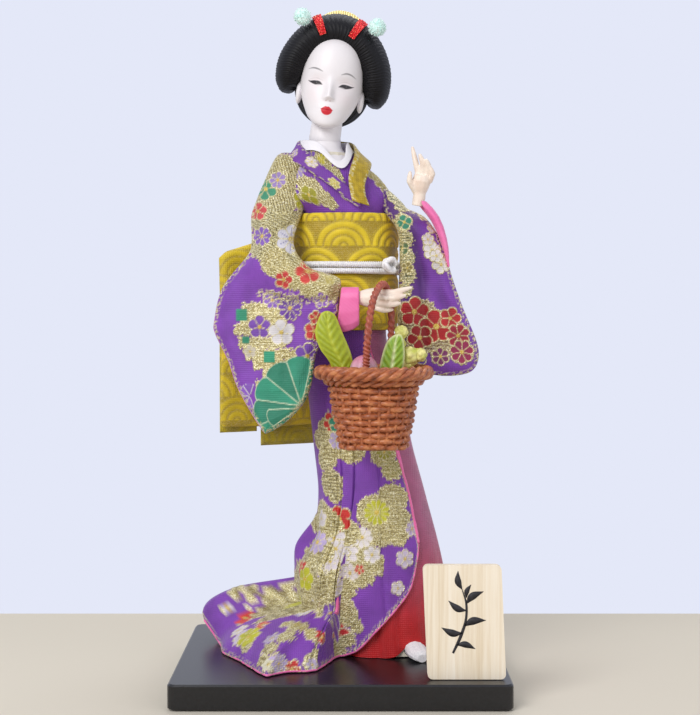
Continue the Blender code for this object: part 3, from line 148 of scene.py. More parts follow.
# %% Curves, bars and lumps
def through(table, at):
    """A smooth curve through (position, value, ...) rows, at an array of positions."""
    table = np.asarray(table, float)
    keys = table[:, 0]
    at = np.clip(np.asarray(at, float), keys[0], keys[-1])
    k = np.clip(np.searchsorted(keys, at) - 1, 0, len(keys) - 2)
    before = np.maximum(k - 1, 0)
    after = np.minimum(k + 2, len(keys) - 1)
    span = keys[k + 1] - keys[k]
    s = ((at - keys[k]) / span)[..., None]
    slope_in = (table[k + 1] - table[before]) / (keys[k + 1] - keys[before])[..., None] * span[..., None]
    slope_out = (table[after] - table[k]) / (keys[after] - keys[k])[..., None] * span[..., None]
    blend = (2 * s**3 - 3 * s**2 + 1) * table[k] + (s**3 - 2 * s**2 + s) * slope_in
    blend += (3 * s**2 - 2 * s**3) * table[k + 1] + (s**3 - s**2) * slope_out
    return blend[..., 1:]


def ease(value, low, high):
    share = np.clip((np.asarray(value, float) - low) / (high - low), 0.0, 1.0)
    return share * share * (3.0 - 2.0 * share)


def reach_of(turn, half_x, half_y):
    return 1.0 / np.hypot(np.cos(turn) / half_x, np.sin(turn) / half_y)


def rod(path, radii, sides):
    """Points and faces of a round bar along a path, closed at both ends."""
    path = np.asarray(path, float)
    ahead = np.gradient(path, axis=0)
    ahead /= np.linalg.norm(ahead, axis=1, keepdims=True)
    side = np.cross(ahead[0], (0.0, 0.0, 1.0))
    if np.linalg.norm(side) < 0.1:
        side = np.array((1.0, 0.0, 0.0))
    turns = np.linspace(0, math.tau, sides, endpoint=False)
    points = np.empty((len(path), sides, 3))
    radii = np.broadcast_to(np.asarray(radii, float), (len(path),))
    for k in range(len(path)):
        side = side - ahead[k] * side.dot(ahead[k])
        side /= np.linalg.norm(side)
        lift = np.cross(side, ahead[k])
        r = radii[k]
        points[k] = (
            path[k] + (r * np.cos(turns))[:, None] * side + (r * np.sin(turns))[:, None] * lift
        )
    return points.reshape(-1, 3), capped(len(path), sides)


def together(parts):
    """Several (points, faces) as one set."""
    points, faces, first = [], [], 0
    for some_points, some_faces in parts:
        points.append(np.asarray(some_points))
        faces += [[first + i for i in f] for f in some_faces]
        first += len(some_points)
    return np.concatenate(points), faces


def lumpy(points, size):
    """A smooth, repeatable unevenness from -1 to 1, with lumps about size millimetres across."""
    p = np.asarray(points, float) / size
    waves = (
        (1.0, 1.7, 0.6, 0.3), (-1.3, 0.8, 1.9, 1.9), (0.7, -1.6, 1.2, 4.1), (2.3, 0.4, -1.4, 2.2),
        (-0.5, 2.6, 1.1, 5.3),
    )
    total = sum(np.sin(p @ np.array(w[:3]) * 2.1 + w[3]) for w in waves)
    return total / len(waves) * 1.6


print("curves, bars and lumps: ready")

# %% [markdown]
# ## Helpers for finishes
# Every finish is a Principled shader with a small tree in front of it. Colours are written as sRGB hex, as
# they would be picked from a shade card, and one function makes them linear. Texture scales come from real
# sizes: a thread every 0.4 mm needs 1/0.0004 waves a metre, because object coordinates are in metres.

# %% Colours, nodes and a starting material
def shade(code):
    """An sRGB hex code as linear RGB."""
    values = [int(code[i : i + 2], 16) / 255 for i in (1, 3, 5)]
    return tuple(v / 12.92 if v <= 0.04045 else ((v + 0.055) / 1.055) ** 2.4 for v in values)


def add(tree, kind, values=None, out=0, stops=(), **settings):
    """Adds a node with its settings and gives one of its outputs.

    A value is a number, a hex colour or the output of another node, which is then linked. The stops are the
    (position, hex colour) pairs of a colour ramp.
    """
    made = tree.nodes.new(kind)
    for key, value in settings.items():
        setattr(made, key, value)
    for key, value in (values or {}).items():
        if isinstance(value, bpy.types.NodeSocket):
            tree.links.new(value, made.inputs[key])
        else:
            made.inputs[key].default_value = (*shade(value), 1.0) if isinstance(value, str) else value
    if stops:
        elements = made.color_ramp.elements
        while len(elements) < len(stops):
            elements.new(0.5)
        for element, (position, code) in zip(elements, stops):
            element.position = position
            element.color = (*shade(code), 1.0)
    return made.outputs[out]


def finish_called(name, code, roughness, metallic=0.0, **sockets):
    """A material with a Principled shader, its tree, the shader and the object's coordinates."""
    made = bpy.data.materials.new(name)
    made.use_nodes = True
    tree = made.node_tree
    shader = tree.nodes["Principled BSDF"]
    shader.inputs["Base Color"].default_value = (*shade(code), 1.0)
    shader.inputs["Roughness"].default_value = roughness
    shader.inputs["Metallic"].default_value = metallic
    for key, value in sockets.items():
        shader.inputs[key.replace("_", " ").title().replace("Ior", "IOR")].default_value = value
    return made, tree, shader, add(tree, "ShaderNodeTexCoord", out="Object")


print("colours, nodes and a starting material: ready")

# %% A relief, and a mottled finish
def fed(tree, shader, colour, height, depth, strength=1.0):
    """Links a colour into a shader, and a height as a relief of so many millimetres."""
    tree.links.new(colour, shader.inputs["Base Color"])
    values = {"Strength": strength, "Distance": depth * MM, "Height": height}
    tree.links.new(add(tree, "ShaderNodeBump", values), shader.inputs["Normal"])


def mottled(name, code, roughness, scale, stops, depth=0.0, strength=1.0, detail=2.0, grit=0.5, metallic=0.0,
            fine=None, **sockets):
    """A finish whose colour and relief follow a noise.

    The scale is in repeats a metre for each axis and the depth in millimetres. Where the relief has its own
    noise, fine is the scale of that.
    """
    made, tree, shader, where = finish_called(name, code, roughness, metallic, **sockets)
    stretched = add(tree, "ShaderNodeMapping", {"Vector": where, "Scale": scale})
    values = {"Vector": stretched, "Scale": 1.0, "Detail": detail, "Roughness": grit}
    grain = add(tree, "ShaderNodeTexNoise", values)
    colour = add(tree, "ShaderNodeValToRGB", {"Fac": grain}, stops=stops)
    height = add(tree, "ShaderNodeTexNoise", {"Vector": where, "Scale": fine}) if fine else grain
    fed(tree, shader, colour, height, depth, strength)
    return made


print("a relief, and a mottled finish: ready")

# %% [markdown]
# ## Camera and light
# The doll was seen from straight in front, a little above its middle, so the camera is level with the sash
# and tips down two degrees. The light is a soft studio: a big lamp in front and to one side, a weaker one
# across from it, and a pale world. The paleness of the backdrop is for camera, glossy and transmission rays
# alone, so that it never adds light to the doll.

# %% Camera
photograph_focus = 68.0
eye = bpy.data.cameras.new("camera")
eye.sensor_fit = "VERTICAL"
eye.sensor_height = 36.0
eye.lens = photograph_focus
camera = bpy.data.objects.new("camera", eye)
camera.location = (0.004, -0.612, 0.167)
camera.rotation_euler = (math.radians(90.0 - 2.01), 0.0, 0.0)
bpy.context.scene.collection.objects.link(camera)
bpy.context.scene.camera = camera
bpy.context.scene.view_settings.view_transform = "Standard"
print("camera: ready")

# %% Lamps, world and floor
def lamp(name, place_at, aim, size, power, code):
    light = bpy.data.lights.new(name, "AREA")
    light.shape = "RECTANGLE"
    light.size = size[0]
    light.size_y = size[1]
    light.energy = power
    light.color = shade(code)
    made = bpy.data.objects.new(name, light)
    made.location = place_at
    made.rotation_euler = (Vector(aim) - Vector(place_at)).to_track_quat("-Z", "Y").to_euler()
    bpy.context.scene.collection.objects.link(made)
    return made


lamp("window_light", (-0.55, -0.85, 0.75), (0.0, 0.0, 0.16), (0.6, 0.6), 9.2, "#FFFDFB")
lamp("fill_light", (0.75, -0.6, 0.35), (0.0, 0.0, 0.15), (0.8, 0.8), 2.0, "#FBFBFF")
lamp("top_light", (0.1, 0.35, 0.95), (0.0, 0.0, 0.18), (0.7, 0.5), 3.0, "#FFFFFF")


def seen_directly(tree):
    """1 for a ray that shows the backdrop itself, and 0 for light that falls on the doll."""
    kinds = ("Camera", "Glossy", "Transmission")
    camera_ray, glossy_ray, clear_ray = (
        add(tree, "ShaderNodeLightPath", out=f"Is {kind} Ray") for kind in kinds
    )
    either = add(tree, "ShaderNodeMath", {0: camera_ray, 1: glossy_ray}, operation="MAXIMUM")
    return add(tree, "ShaderNodeMath", {0: either, 1: clear_ray}, operation="MAXIMUM")


world = bpy.data.worlds.new("studio")
bpy.context.scene.world = world
world.use_nodes = True
sky = world.node_tree
back = sky.nodes["Background"]
colour = add(sky, "ShaderNodeMix", {0: seen_directly(sky), 6: "#A9A8A8", 7: "#E4E8F8"}, out=2, data_type="RGBA")
sky.links.new(colour, back.inputs["Color"])
back.inputs["Strength"].default_value = 1.0

floor_mesh = bpy.data.meshes.new("floor")
floor_mesh.from_pydata([(-1.5, -1.2, 0), (1.5, -1.2, 0), (1.5, 0.128, 0), (-1.5, 0.128, 0)], [], [(0, 1, 2, 3)])
floor = bpy.data.objects.new("floor", floor_mesh)
floor.location.z = -0.0004
bpy.context.scene.collection.objects.link(floor)
floor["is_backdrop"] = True
paper = finish_called("studio_paper", "#D8D2C6", 0.9)[0]
floor_mesh.materials.append(paper)
print("camera and lamps are set")

# %% [markdown]
# ## The stand
# The base is a board sprayed with black satin lacquer. Its shape is already right in the frame, so it only
# needs its finish: a thin clear gloss over black, with a trace of orange peel from the spray. The tablet is
# thin pale softwood. Its growth rings show as faint upright lines, drawn with a stretched noise.

# %% Lacquer, softwood, steel and cotton
lacquer = mottled(
    "satin_black_lacquer", "#121214", 0.3, (900, 900, 900), ((0.3, "#0D0D0F"), (0.7, "#17171A")), 0.02, 0.3,
    Specular_IOR_Level=0.5,
)

softwood, tree, shader, where = finish_called("sanded_softwood", "#EFE3D0", 0.62)
upright = add(tree, "ShaderNodeMapping", {"Vector": where, "Scale": (900, 900, 26)})
grain = add(tree, "ShaderNodeTexNoise", {"Vector": upright, "Scale": 1.0, "Detail": 4.0, "Roughness": 0.6})
broader = add(tree, "ShaderNodeMapping", {"Vector": where, "Scale": (160, 160, 7)})
rings = add(tree, "ShaderNodeTexNoise", {"Vector": broader, "Scale": 1.0})
both = add(tree, "ShaderNodeMath", {0: rings, 1: 0.45}, operation="MULTIPLY")
both = add(tree, "ShaderNodeMath", {0: grain, 1: 0.55, 2: both}, operation="MULTIPLY_ADD")
pale = ((0.3, "#DFCDB0"), (0.5, "#F0E4D0"), (0.68, "#F8F0E2"))
fed(tree, shader, add(tree, "ShaderNodeValToRGB", {"Fac": both}, stops=pale), grain, 0.05, 0.5)

wire_steel = mottled(
    "drawn_steel_wire", "#9A9A9C", 0.35, (3000, 3000, 40), ((0.3, "#858588"), (0.7, "#ABABAE")), metallic=1.0,
)

wadding = mottled(
    "cotton_wadding", "#DDD6C6", 0.95, (260, 260, 260), ((0.3, "#CFC7B4"), (0.7, "#EAE5D8")), 1.0, detail=5.0,
    grit=0.7,
)

sock_cotton = mottled(
    "white_sock_cotton", "#EDEDF2", 0.85, (1800, 1800, 1800), ((0.3, "#DEDEE6"), (0.7, "#F6F6FA")), 0.12
)

for node, look in (
    ("base_board", lacquer), ("name_plaque", softwood), ("leg_wire_left", wire_steel),
    ("leg_wire_right", wire_steel), ("body_form", wadding), ("skirt_wadding", wadding),
    ("obi_bow_pad", wadding), ("foot_left", sock_cotton), ("foot_right", sock_cotton),
):
    materials = frame["nodes"][node].data.materials
    materials.clear()
    materials.append(look)
print("stand and padding are finished")

# %% [markdown]
# ## The shapes that everything is dressed on
# The underskirt, the robe's skirt and the bodice are tapering tubes. Each is a table of cross-sections with a
# smooth curve through it, the same as in the solids, so that the dressed surface lies exactly on them.

# %% Figure sections and surfaces
floor_of_doll = 11.3
waist_x, waist_y, sash_half_x, sash_half_y = 1.7, 10.0, 24.0, 18.4
sash_bottom, sash_height, arc_size = 158.0, 52.6, 23.0
under_skirt_sections = (
    (11.0, 23.0, 8.0, 30.0, 21.5), (50.0, 18.5, 9.0, 28.5, 20.5), (84.0, 15.2, 9.5, 23.3, 18.0),
    (107.0, 10.7, 10.0, 21.8, 16.0), (132.0, 7.3, 10.0, 21.2, 15.0), (150.0, 2.3, 10.0, 19.4, 13.9),
    (170.0, 1.7, 10.0, 19.0, 13.5),
)
bodice_sections = (
    (190.0, 1.7, 10.0, 21.55, 15.95), (210.6, 1.7, 10.0, 21.55, 15.95), (218.0, -3.0, 9.2, 26.5, 16.0),
    (226.0, -6.0, 8.7, 24.5, 14.5), (233.0, -7.5, 8.5, 19.0, 12.7), (239.0, -7.8, 9.2, 12.6, 11.2),
    (243.0, -7.8, 9.8, 10.2, 10.2), (247.0, -7.6, 10.2, 9.6, 9.8),
)
robe_hem = (
    (0.00, -50.0, -45.0, 62.0, 0.0, 0.0), (0.03, -54.0, -52.0, 52.0, 0.0, 0.0),
    (0.07, -60.0, -62.0, 42.0, 0.0, 0.0), (0.12, -68.0, -81.0, 33.0, 0.0, 0.0),
    (0.17, -77.0, -104.0, 24.0, 0.0, 0.0), (0.22, -86.0, -126.0, 15.0, 0.0, 0.0),
    (0.26, -93.0, -142.0, 11.3, -2.0, -1.8), (0.32, -104.0, -145.0, 11.3, -6.0, -17.5),
    (0.37, -113.0, -147.0, 11.3, -11.6, -28.2), (0.41, -120.0, -150.0, 11.3, -20.0, -30.0),
    (0.46, -129.0, -153.0, 11.3, -28.0, -37.5), (0.50, -137.0, -158.0, 11.3, -33.5, -27.5),
    (0.54, -146.0, -164.0, 11.3, -38.0, -16.5), (0.59, -157.0, -170.0, 11.3, -44.5, -3.5),
    (0.64, -168.0, -178.0, 12.0, -49.5, 10.0), (0.69, -180.0, -188.0, 23.0, -54.5, 17.5),
    (0.74, -192.0, -198.0, 13.0, -46.0, 24.0), (0.80, -206.0, -212.0, 11.5, -31.0, 25.0),
    (0.86, -222.0, -228.0, 11.5, -15.0, 20.0), (0.91, -240.0, -245.0, 11.5, -5.0, 13.0),
    (0.96, -265.0, -268.0, 11.5, 1.0, 7.0), (1.00, -300.0, -305.0, 11.5, 4.0, 3.0),
)
train_start, flare_start, flare_share, fold_count, fold_depth, robe_gap = 0.865, 0.64, 0.16, 8, 2.2, 1.0
robe_opening = math.radians(-62.0)
print("figure sections and surfaces: ready")

# %% Surfaces over the sections
def around(sections, turn, height, offset):
    x, y, half_x, half_y = np.moveaxis(through(sections, height), -1, 0)
    reach = reach_of(turn, half_x, half_y) + offset
    return np.stack([x + reach * np.cos(turn), y + reach * np.sin(turn), height + 0.0 * turn], axis=-1)


def robe_skirt(along, down, offset=0.0):
    top_turn, hem_turn, hem, out_x, out_y = np.moveaxis(through(robe_hem, along), -1, 0)
    hem = np.maximum(hem, floor_of_doll)
    turn = np.radians(top_turn + (hem_turn - top_turn) * ease(down, 0.25, 1.0))
    height = 168.0 + (hem - 168.0) * down
    trail = np.maximum(down - train_start, 0.0) / (1.0 - train_start)
    spread = flare_share * ease(down, flare_start, flare_start + 0.14)
    spread = spread + (1.0 - flare_share) * (1.0 - (1.0 - trail) ** 2)
    loose = np.minimum(1.0, np.hypot(out_x, out_y) / 20.0)
    fold = 0.5 - 0.5 * np.cos(math.tau * fold_count * along)
    fold = fold * fold_depth * ease(down, 0.35, 1.0) * (0.25 + 0.75 * loose)
    points = around(under_skirt_sections, turn, height, robe_gap + fold + offset)
    points[..., 0] += out_x * spread
    points[..., 1] += out_y * spread
    return points


def normals_of(grid):
    """Unit normals of a grid of points, by rows and columns."""
    normals = np.cross(np.gradient(grid, axis=0), np.gradient(grid, axis=1))
    return normals / np.maximum(np.linalg.norm(normals, axis=2, keepdims=True), 1e-9)


print("surfaces over the sections: ready")

# %% [markdown]
# ## Painting a brocade
# Brocade is a satin ground with extra threads floated over it: dyed silk for flowers, and gilt strips for
# clouds and outlines. The pattern is drawn in code. A cloth holds flat coordinates in millimetres, and each
# motif asks every point how far it is from the motif's edge. It then lays its dye, its share of gilt thread
# and its thickness over what is there. The results are stored on the mesh as attributes, dye and gilt, and
# the relief moves the points. That keeps each flower one simple shape which can be moved or resized.

# %% The pattern painter
# The front elevation is drawn in units of 0.453 mm, and the eye stands 612 mm in front of the doll
drawn_unit, eye_back, eye_scale = 0.453, 612.0, 1351.0
elevation_centre, eye_x, eye_z = (350.0, 310.0), 4.0, 167.0


def elevation(points):
    """Where a point is seen on the front elevation, in the drawing's own units."""
    points = np.asarray(points, float).reshape(-1, 3)
    near = eye_scale / (points[:, 1] + eye_back)
    across, down = near * (points[:, 0] - eye_x), near * (points[:, 2] - eye_z)
    return np.stack([elevation_centre[0] + across, elevation_centre[1] - down], axis=-1)


class Cloth:
    """A cloth to paint: flat coordinates in millimetres, and where it shows on the elevation."""

    def __init__(self, points, flat, ground, front=None):
        self.points = np.asarray(points, float).reshape(-1, 3)
        self.flat = np.asarray(flat, float).reshape(-1, 2)
        self.seen = elevation(self.points)
        if front is not None:
            self.seen[~np.asarray(front).ravel()] = 1e6
        self.dye = np.tile(np.array(shade(ground)), (len(self.points), 1))
        self.gilt = np.zeros(len(self.points))
        self.lift = np.zeros(len(self.points))

    def nearest(self, drawn):
        return np.argmin(((self.seen - np.array(drawn)) ** 2).sum(axis=1))

    def find(self, drawn):
        """Flat coordinates of a place given on the elevation."""
        return self.flat[self.nearest(drawn)]

    def flatten_at(self, index):
        """Measures the cloth in the plane that touches it at one point, so a motif there isn't stretched."""
        out = self.facing[index]
        side = np.cross((0.0, 0.0, 1.0), out)
        side = np.array((1.0, 0.0, 0.0)) if np.linalg.norm(side) < 0.3 else side / np.linalg.norm(side)
        away = self.points - self.points[index]
        self.flat = np.stack([away @ side, -(away @ np.cross(out, side))], axis=-1)
        self.flat[(np.linalg.norm(away, axis=1) > 36) | (self.facing @ out < 0.1)] = 1e4

    def flatten_where(self, drawn):
        self.flatten_at(self.nearest(drawn))

    def lay(self, mask, dye=None, gilt=None, lift=0.0):
        if dye is not None:
            tone = np.asarray(dye if not isinstance(dye, str) else shade(dye))
            self.dye += (tone - self.dye) * mask[:, None]
        if gilt is not None:
            self.gilt += (gilt - self.gilt) * mask
        self.lift = self.lift * (1 - mask) + np.maximum(self.lift, lift) * mask


print("the pattern painter: ready")

# %% Edges and gold
def soft(edge, width=0.35):
    """1 inside an edge and 0 outside it, from the distance to it."""
    return np.clip(0.5 - edge / width, 0.0, 1.0)


def polygon_edge(flat, corners):
    """Distance to a closed outline, negative inside it."""
    corners = np.asarray(corners, float)
    ends = np.roll(corners, -1, axis=0)
    best = np.full(len(flat), 1e9)
    odd = np.zeros(len(flat), bool)
    for a, b in zip(corners, ends):
        run = b - a
        share = np.clip(((flat - a) @ run) / max(run @ run, 1e-9), 0, 1)
        best = np.minimum(best, np.linalg.norm(flat - a - share[:, None] * run, axis=1))
        crosses = (a[1] > flat[:, 1]) != (b[1] > flat[:, 1])
        rise = (b[1] - a[1]) if abs(b[1] - a[1]) > 1e-9 else 1e-9
        odd ^= crosses & (flat[:, 0] < a[0] + (flat[:, 1] - a[1]) / rise * run[0])
    return np.where(odd, -best, best)


def unevenness(flat, size, seed=0.0):
    p = np.column_stack([flat, np.full(len(flat), seed * size)])
    return lumpy(p, size)


gilt_pale, dull_gold = "#E9DFA6", "#7A6A34"


def gold_field(cloth, edge, bars=1.5, slant=0.0, ground=dull_gold, rim=0.55, seed=0.0, fill=0.72):
    """An area covered in gilt thread: short bars over a dull ground, inside a bright scalloped rim."""
    wobble = 0.55 * unevenness(cloth.flat, 1.6, seed) + 0.4 * unevenness(cloth.flat, 0.8, seed + 3)
    edge = edge + wobble
    cloth.lay(soft(edge), ground, 0.35, 0.12)
    across = cloth.flat[:, 1] * math.cos(slant) + cloth.flat[:, 0] * math.sin(slant)
    bar = np.sin(math.tau * across / bars + 1.3 * unevenness(cloth.flat, 3.0, seed + 7))
    broken = unevenness(cloth.flat, 1.1, seed + 11)
    cloth.lay(soft(edge + 0.3) * ((bar > -0.15) & (broken > -0.75)) * fill, gilt_pale, 1.0, 0.3)
    cloth.lay(soft(np.abs(edge + rim / 2) - rim / 2), gilt_pale, 1.0, 0.38)


def cloud(cloth, rounds, **options):
    """A gold cloud made of overlapping rounds, each a centre and a radius."""
    edge = np.min([np.linalg.norm(cloth.flat - c, axis=1) - r for c, r in rounds], axis=0)
    gold_field(cloth, edge, **options)


print("edges and gold: ready")

# %% Flowers, fans and loose threads
def blossom(cloth, centre, radius, dye, petals=5, turn=0.0, outline=gilt_pale, heart="#D8B838", vein=None,
            notch=0.36, rim=0.45, gilt_rim=1.0, flat_petals=0.55):
    """A flower with rounded petals, an outline, a vein down each petal and a heart."""
    away = cloth.flat - centre
    r = np.linalg.norm(away, axis=1)
    angle = np.arctan2(away[:, 1], away[:, 0]) - turn
    lobe = np.abs(np.cos(petals * angle / 2)) ** flat_petals
    bound = radius * (1 - notch + notch * lobe)
    inner = soft(r - bound)
    if not inner.any():
        return
    cloth.lay(inner, dye, 0.0, 0.2)
    cloth.dye *= (1 - 0.22 * inner * np.clip(1 - r / np.maximum(bound, 1e-6), 0, 1))[:, None]
    gap = np.abs(np.cos(petals * angle / 2))
    cloth.lay(
        soft(gap * r * 2 / petals - 0.12, 0.3) * (r > 0.2 * radius) * inner, outline, gilt_rim * 0.8, 0.25
    )
    if vein:
        middle = np.abs(np.sin(petals * angle / 2))
        cloth.lay(soft(middle * r * 2 / petals - 0.1, 0.3) * (r < 0.8 * bound) * inner, vein, 0.0, 0.22)
    if rim:
        cloth.lay(soft(np.abs(r - bound) - rim / 2), outline, gilt_rim, 0.36)
    cloth.lay(soft(r - 0.17 * radius), heart, 0.3, 0.34)


def fan_leaf(cloth, centre, reach, first, last, count, dye="#2E9478", outline="#BFE3C8", width=1.06):
    """A spray of rounded petals from one point, drawn at angles in degrees."""
    for k in range(count):
        angle = math.radians(first + (last - first) * k / (count - 1))
        run = np.array((math.cos(angle), math.sin(angle)))
        away = cloth.flat - centre
        along = away @ run
        across = np.abs(away @ np.array((-run[1], run[0])))
        step = math.radians(abs(last - first) / (count - 1))
        half = np.tan(step / 2) * along * width
        tip = reach * 0.86
        tip_half = np.tan(step / 2) * tip * width
        round_end = np.hypot(np.maximum(along - tip, 0) / (reach - tip) * tip_half, across) - tip_half
        edge = np.where(along < tip, across - half, round_end)
        edge = np.where(along < 0.5, 5.0, edge)
        tone = np.array(shade(dye)) * (0.82 + 0.3 * (k % 2))
        cloth.lay(soft(edge), tone, 0.0, 0.2)
        cloth.lay(soft(np.abs(edge + 0.1) - 0.22), outline, 0.45, 0.34)


def scatter_sparks(cloth, edge_distance, reach, strength=0.8, seed=5.0):
    """Loose gilt threads along an edge of the cloth."""
    broken = unevenness(cloth.flat, 1.3, seed) + 0.6 * unevenness(cloth.flat, 0.7, seed + 2)
    mask = np.clip(1 - np.abs(edge_distance) / reach, 0, 1) * (broken > 0.1) * strength
    cloth.lay(mask, gilt_pale, 1.0, 0.3)


print("flowers, fans and loose threads: ready")

# %% [markdown]
# ## The silks
# One finish serves every brocade piece. The dye attribute is the silk colour and the gilt attribute says
# where metal thread lies. Silk satin is smooth along its floats, so it keeps a soft sheen and a roughness
# near 0.55. The gilt is flat metal strip on a thread, which is why it glitters: a fine noise gives each strip
# a tone from deep brass to nearly white, partly the strips' own varied tone and partly painted glints and
# painted shade, and a bump turns it a little each way. Threads are really about 0.2 mm apart, and are drawn
# every 0.45 mm so that they still show from a step away.

# %% Brocade, lining and satin
def brocade_finish(name, sheen=0.25, rough=0.6, glitter=1.0):
    made, tree, shader, where = finish_called(name, "#7C3FB0", rough, Sheen_Weight=sheen, Sheen_Roughness=0.4)
    dye = add(tree, "ShaderNodeAttribute", attribute_name="dye")
    gilt = add(tree, "ShaderNodeAttribute", out="Fac", attribute_name="gilt")
    cloudy = add(tree, "ShaderNodeTexNoise", {"Vector": where, "Scale": 120.0, "Detail": 3.0})
    worn = add(tree, "ShaderNodeValToRGB", {"Fac": cloudy}, stops=((0.3, "#8E8E8E"), (0.7, "#FFFFFF")))
    colours = {"out": 2, "data_type": "RGBA"}
    silk = add(tree, "ShaderNodeMix", {0: 0.35, 6: dye, 7: worn}, blend_type="MULTIPLY", **colours)
    finely = add(tree, "ShaderNodeMapping", {"Vector": where, "Scale": (1500, 1500, 2600)})
    strips = add(tree, "ShaderNodeTexNoise", {"Vector": finely, "Scale": 1.0, "Roughness": 0.7})
    # Painted highlights and shade: the nearly white stops are painted glints on the gilt, and the darkest is
    # painted shade.
    brass = ((0.33, "#3A3016"), (0.44, "#93803E"), (0.53, "#DDD090"), (0.6, "#FFFEEA"))
    metal = add(tree, "ShaderNodeValToRGB", {"Fac": strips}, stops=brass)
    toned = add(tree, "ShaderNodeMix", {0: 0.28, 6: metal, 7: dye}, **colours)
    colour = add(tree, "ShaderNodeMix", {0: gilt, 6: silk, 7: toned}, **colours)
    shine = add(tree, "ShaderNodeMath", {0: gilt, 1: 0.45 * glitter}, operation="MULTIPLY")
    tree.links.new(shine, shader.inputs["Metallic"])
    smoother = add(tree, "ShaderNodeMath", {0: gilt, 1: -0.26, 2: rough}, operation="MULTIPLY_ADD")
    tree.links.new(smoother, shader.inputs["Roughness"])
    height = add(tree, "ShaderNodeMath", {0: strips, 1: gilt}, operation="MULTIPLY")
    height = add(tree, "ShaderNodeMath", {0: height, 1: 3.0}, operation="MULTIPLY")
    for spacing, direction, wobble, share in (((350, 350, 0), "X", 1.2, 0.4), ((0, 0, 350), "Z", 0.8, 0.5)):
        spaced = add(tree, "ShaderNodeMapping", {"Vector": where, "Scale": spacing})
        wave = {"Vector": spaced, "Scale": 1.0, "Distortion": wobble, "Detail": 1.0}
        threads = add(tree, "ShaderNodeTexWave", wave, "Fac", wave_type="BANDS", bands_direction=direction)
        height = add(tree, "ShaderNodeMath", {0: threads, 1: share, 2: height}, operation="MULTIPLY_ADD")
    fed(tree, shader, colour, height, 0.16, 0.8)
    return made


robe_silk = brocade_finish("purple_brocade_silk")
sash_silk = brocade_finish("woven_gold_sash", sheen=0.15, rough=0.62, glitter=0.6)


def satin_finish(name, light, dark):
    made, tree, shader, where = finish_called(name, light, 0.5, Sheen_Weight=0.3, Sheen_Roughness=0.35)
    soft_tone = add(tree, "ShaderNodeTexNoise", {"Vector": where, "Scale": 70.0, "Detail": 3.0})
    colour = add(tree, "ShaderNodeValToRGB", {"Fac": soft_tone}, stops=((0.25, dark), (0.75, light)))
    spaced = add(tree, "ShaderNodeMapping", {"Vector": where, "Scale": (420, 420, 420)})
    wave = {"Vector": spaced, "Scale": 1.0, "Distortion": 2.0, "Detail": 1.0}
    threads = add(tree, "ShaderNodeTexWave", wave, "Fac", wave_type="BANDS", bands_direction="DIAGONAL")
    fed(tree, shader, colour, threads, 0.06, 0.6)
    return made


pink_satin = satin_finish("pink_lining_satin", "#F583BE", "#E45FA2")
white_silk = satin_finish("white_collar_silk", "#F1F0F6", "#DEDDE8")
print("silks are ready")

# %% [markdown]
# ## The underskirt and the robe's skirt
# The underskirt is plain satin, rose at the waist and red at the hem, hanging in a few long folds. The robe
# goes over it, open at the front right, and trails out on the base to the left. It is one dense grid over
# the surface above, with three pressed pleats, so that each flower gets enough points for its outline. The
# pattern is laid out along the hem and down the cloth, so it bends with the folds as woven cloth does.

# %% Underskirt
turns = np.linspace(0, math.tau, 140, endpoint=False)
downs = np.linspace(0.0, 1.0, 44)
t, d = np.meshgrid(turns, downs)
toe_off = (t - robe_opening + math.pi) % math.tau - math.pi
hem_height = floor_of_doll + 6.5 * np.exp(-((toe_off / 0.3) ** 2))
h = 166.0 + (hem_height - 166.0) * d
hang = (
    0.55 * np.sin(t * 11 + 1.5 * np.sin(d * 3)) * ease(d, 0.2, 1.0)
    + 0.25 * np.sin(t * 23 + d * 4) * ease(d, 0.5, 1.0)
)
outer = around(under_skirt_sections, t, h, -0.3 + hang * 0.8)
shell_points = outer.reshape(-1, 3)
faces = grid_faces(44, 140, closed=True)
height_share = (shell_points[:, 2] - floor_of_doll) / 155.0
top_rose, hem_red = (np.array(shade(c)) for c in ("#B4608A", "#C4141A"))
blend = ease(height_share, 0.06, 0.42)[:, None]
dye = hem_red + (top_rose - hem_red) * blend
under_satin = brocade_finish("rose_satin", sheen=0.3, rough=0.5)
piece("rose_underskirt", shell_points, faces, under_satin, ["under_skirt"], dye=dye, gilt=np.zeros(len(dye)))
print("underskirt points", len(shell_points))

# %% Robe skirt: the cloth
columns = np.concatenate([np.linspace(0.0, 0.62, 260), np.linspace(0.63, 1.0, 38)])
rows = np.concatenate([np.linspace(0.0, 0.3, 26), np.linspace(0.305, 1.0, 150)])
along, down = np.meshgrid(columns, rows)
cloth_grid = robe_skirt(along, down, 0.9)
pleats = np.zeros_like(along)
for start, drift, deep, wide in (
    (0.27, 0.10, 1.5, 0.009), (0.40, 0.06, 1.3, 0.008), (0.16, -0.02, 0.8, 0.007), (0.47, 0.0, 1.1, 0.010)
):
    line = start + drift * down
    pleats -= (
        deep * np.exp(-(((along - line) / wide) ** 2)) * ease(down, 0.25, 0.55)
        * (1 - 0.5 * ease(down, 0.93, 1.0))
    )
ripple = (
    0.5 * lumpy(cloth_grid, 17.0) * ease(down, 0.2, 0.8) + 0.9 * lumpy(cloth_grid, 26.0) * ease(down, 0.85, 1.0)
)
lengths = np.linalg.norm(np.diff(cloth_grid, axis=0), axis=2)
v = np.concatenate([np.zeros((1, len(columns))), np.cumsum(lengths, axis=0)])
middle_row = int(len(rows) * 0.62)
across = np.cumsum(np.linalg.norm(np.diff(cloth_grid, axis=1), axis=2), axis=1)
across = np.concatenate([np.zeros((len(rows), 1)), across], axis=1)
u = across[middle_row]
anchor = int(len(columns) * 0.4)
flat = np.stack([across - across[:, anchor : anchor + 1] + u[anchor], v], axis=-1)
normals = normals_of(cloth_grid)
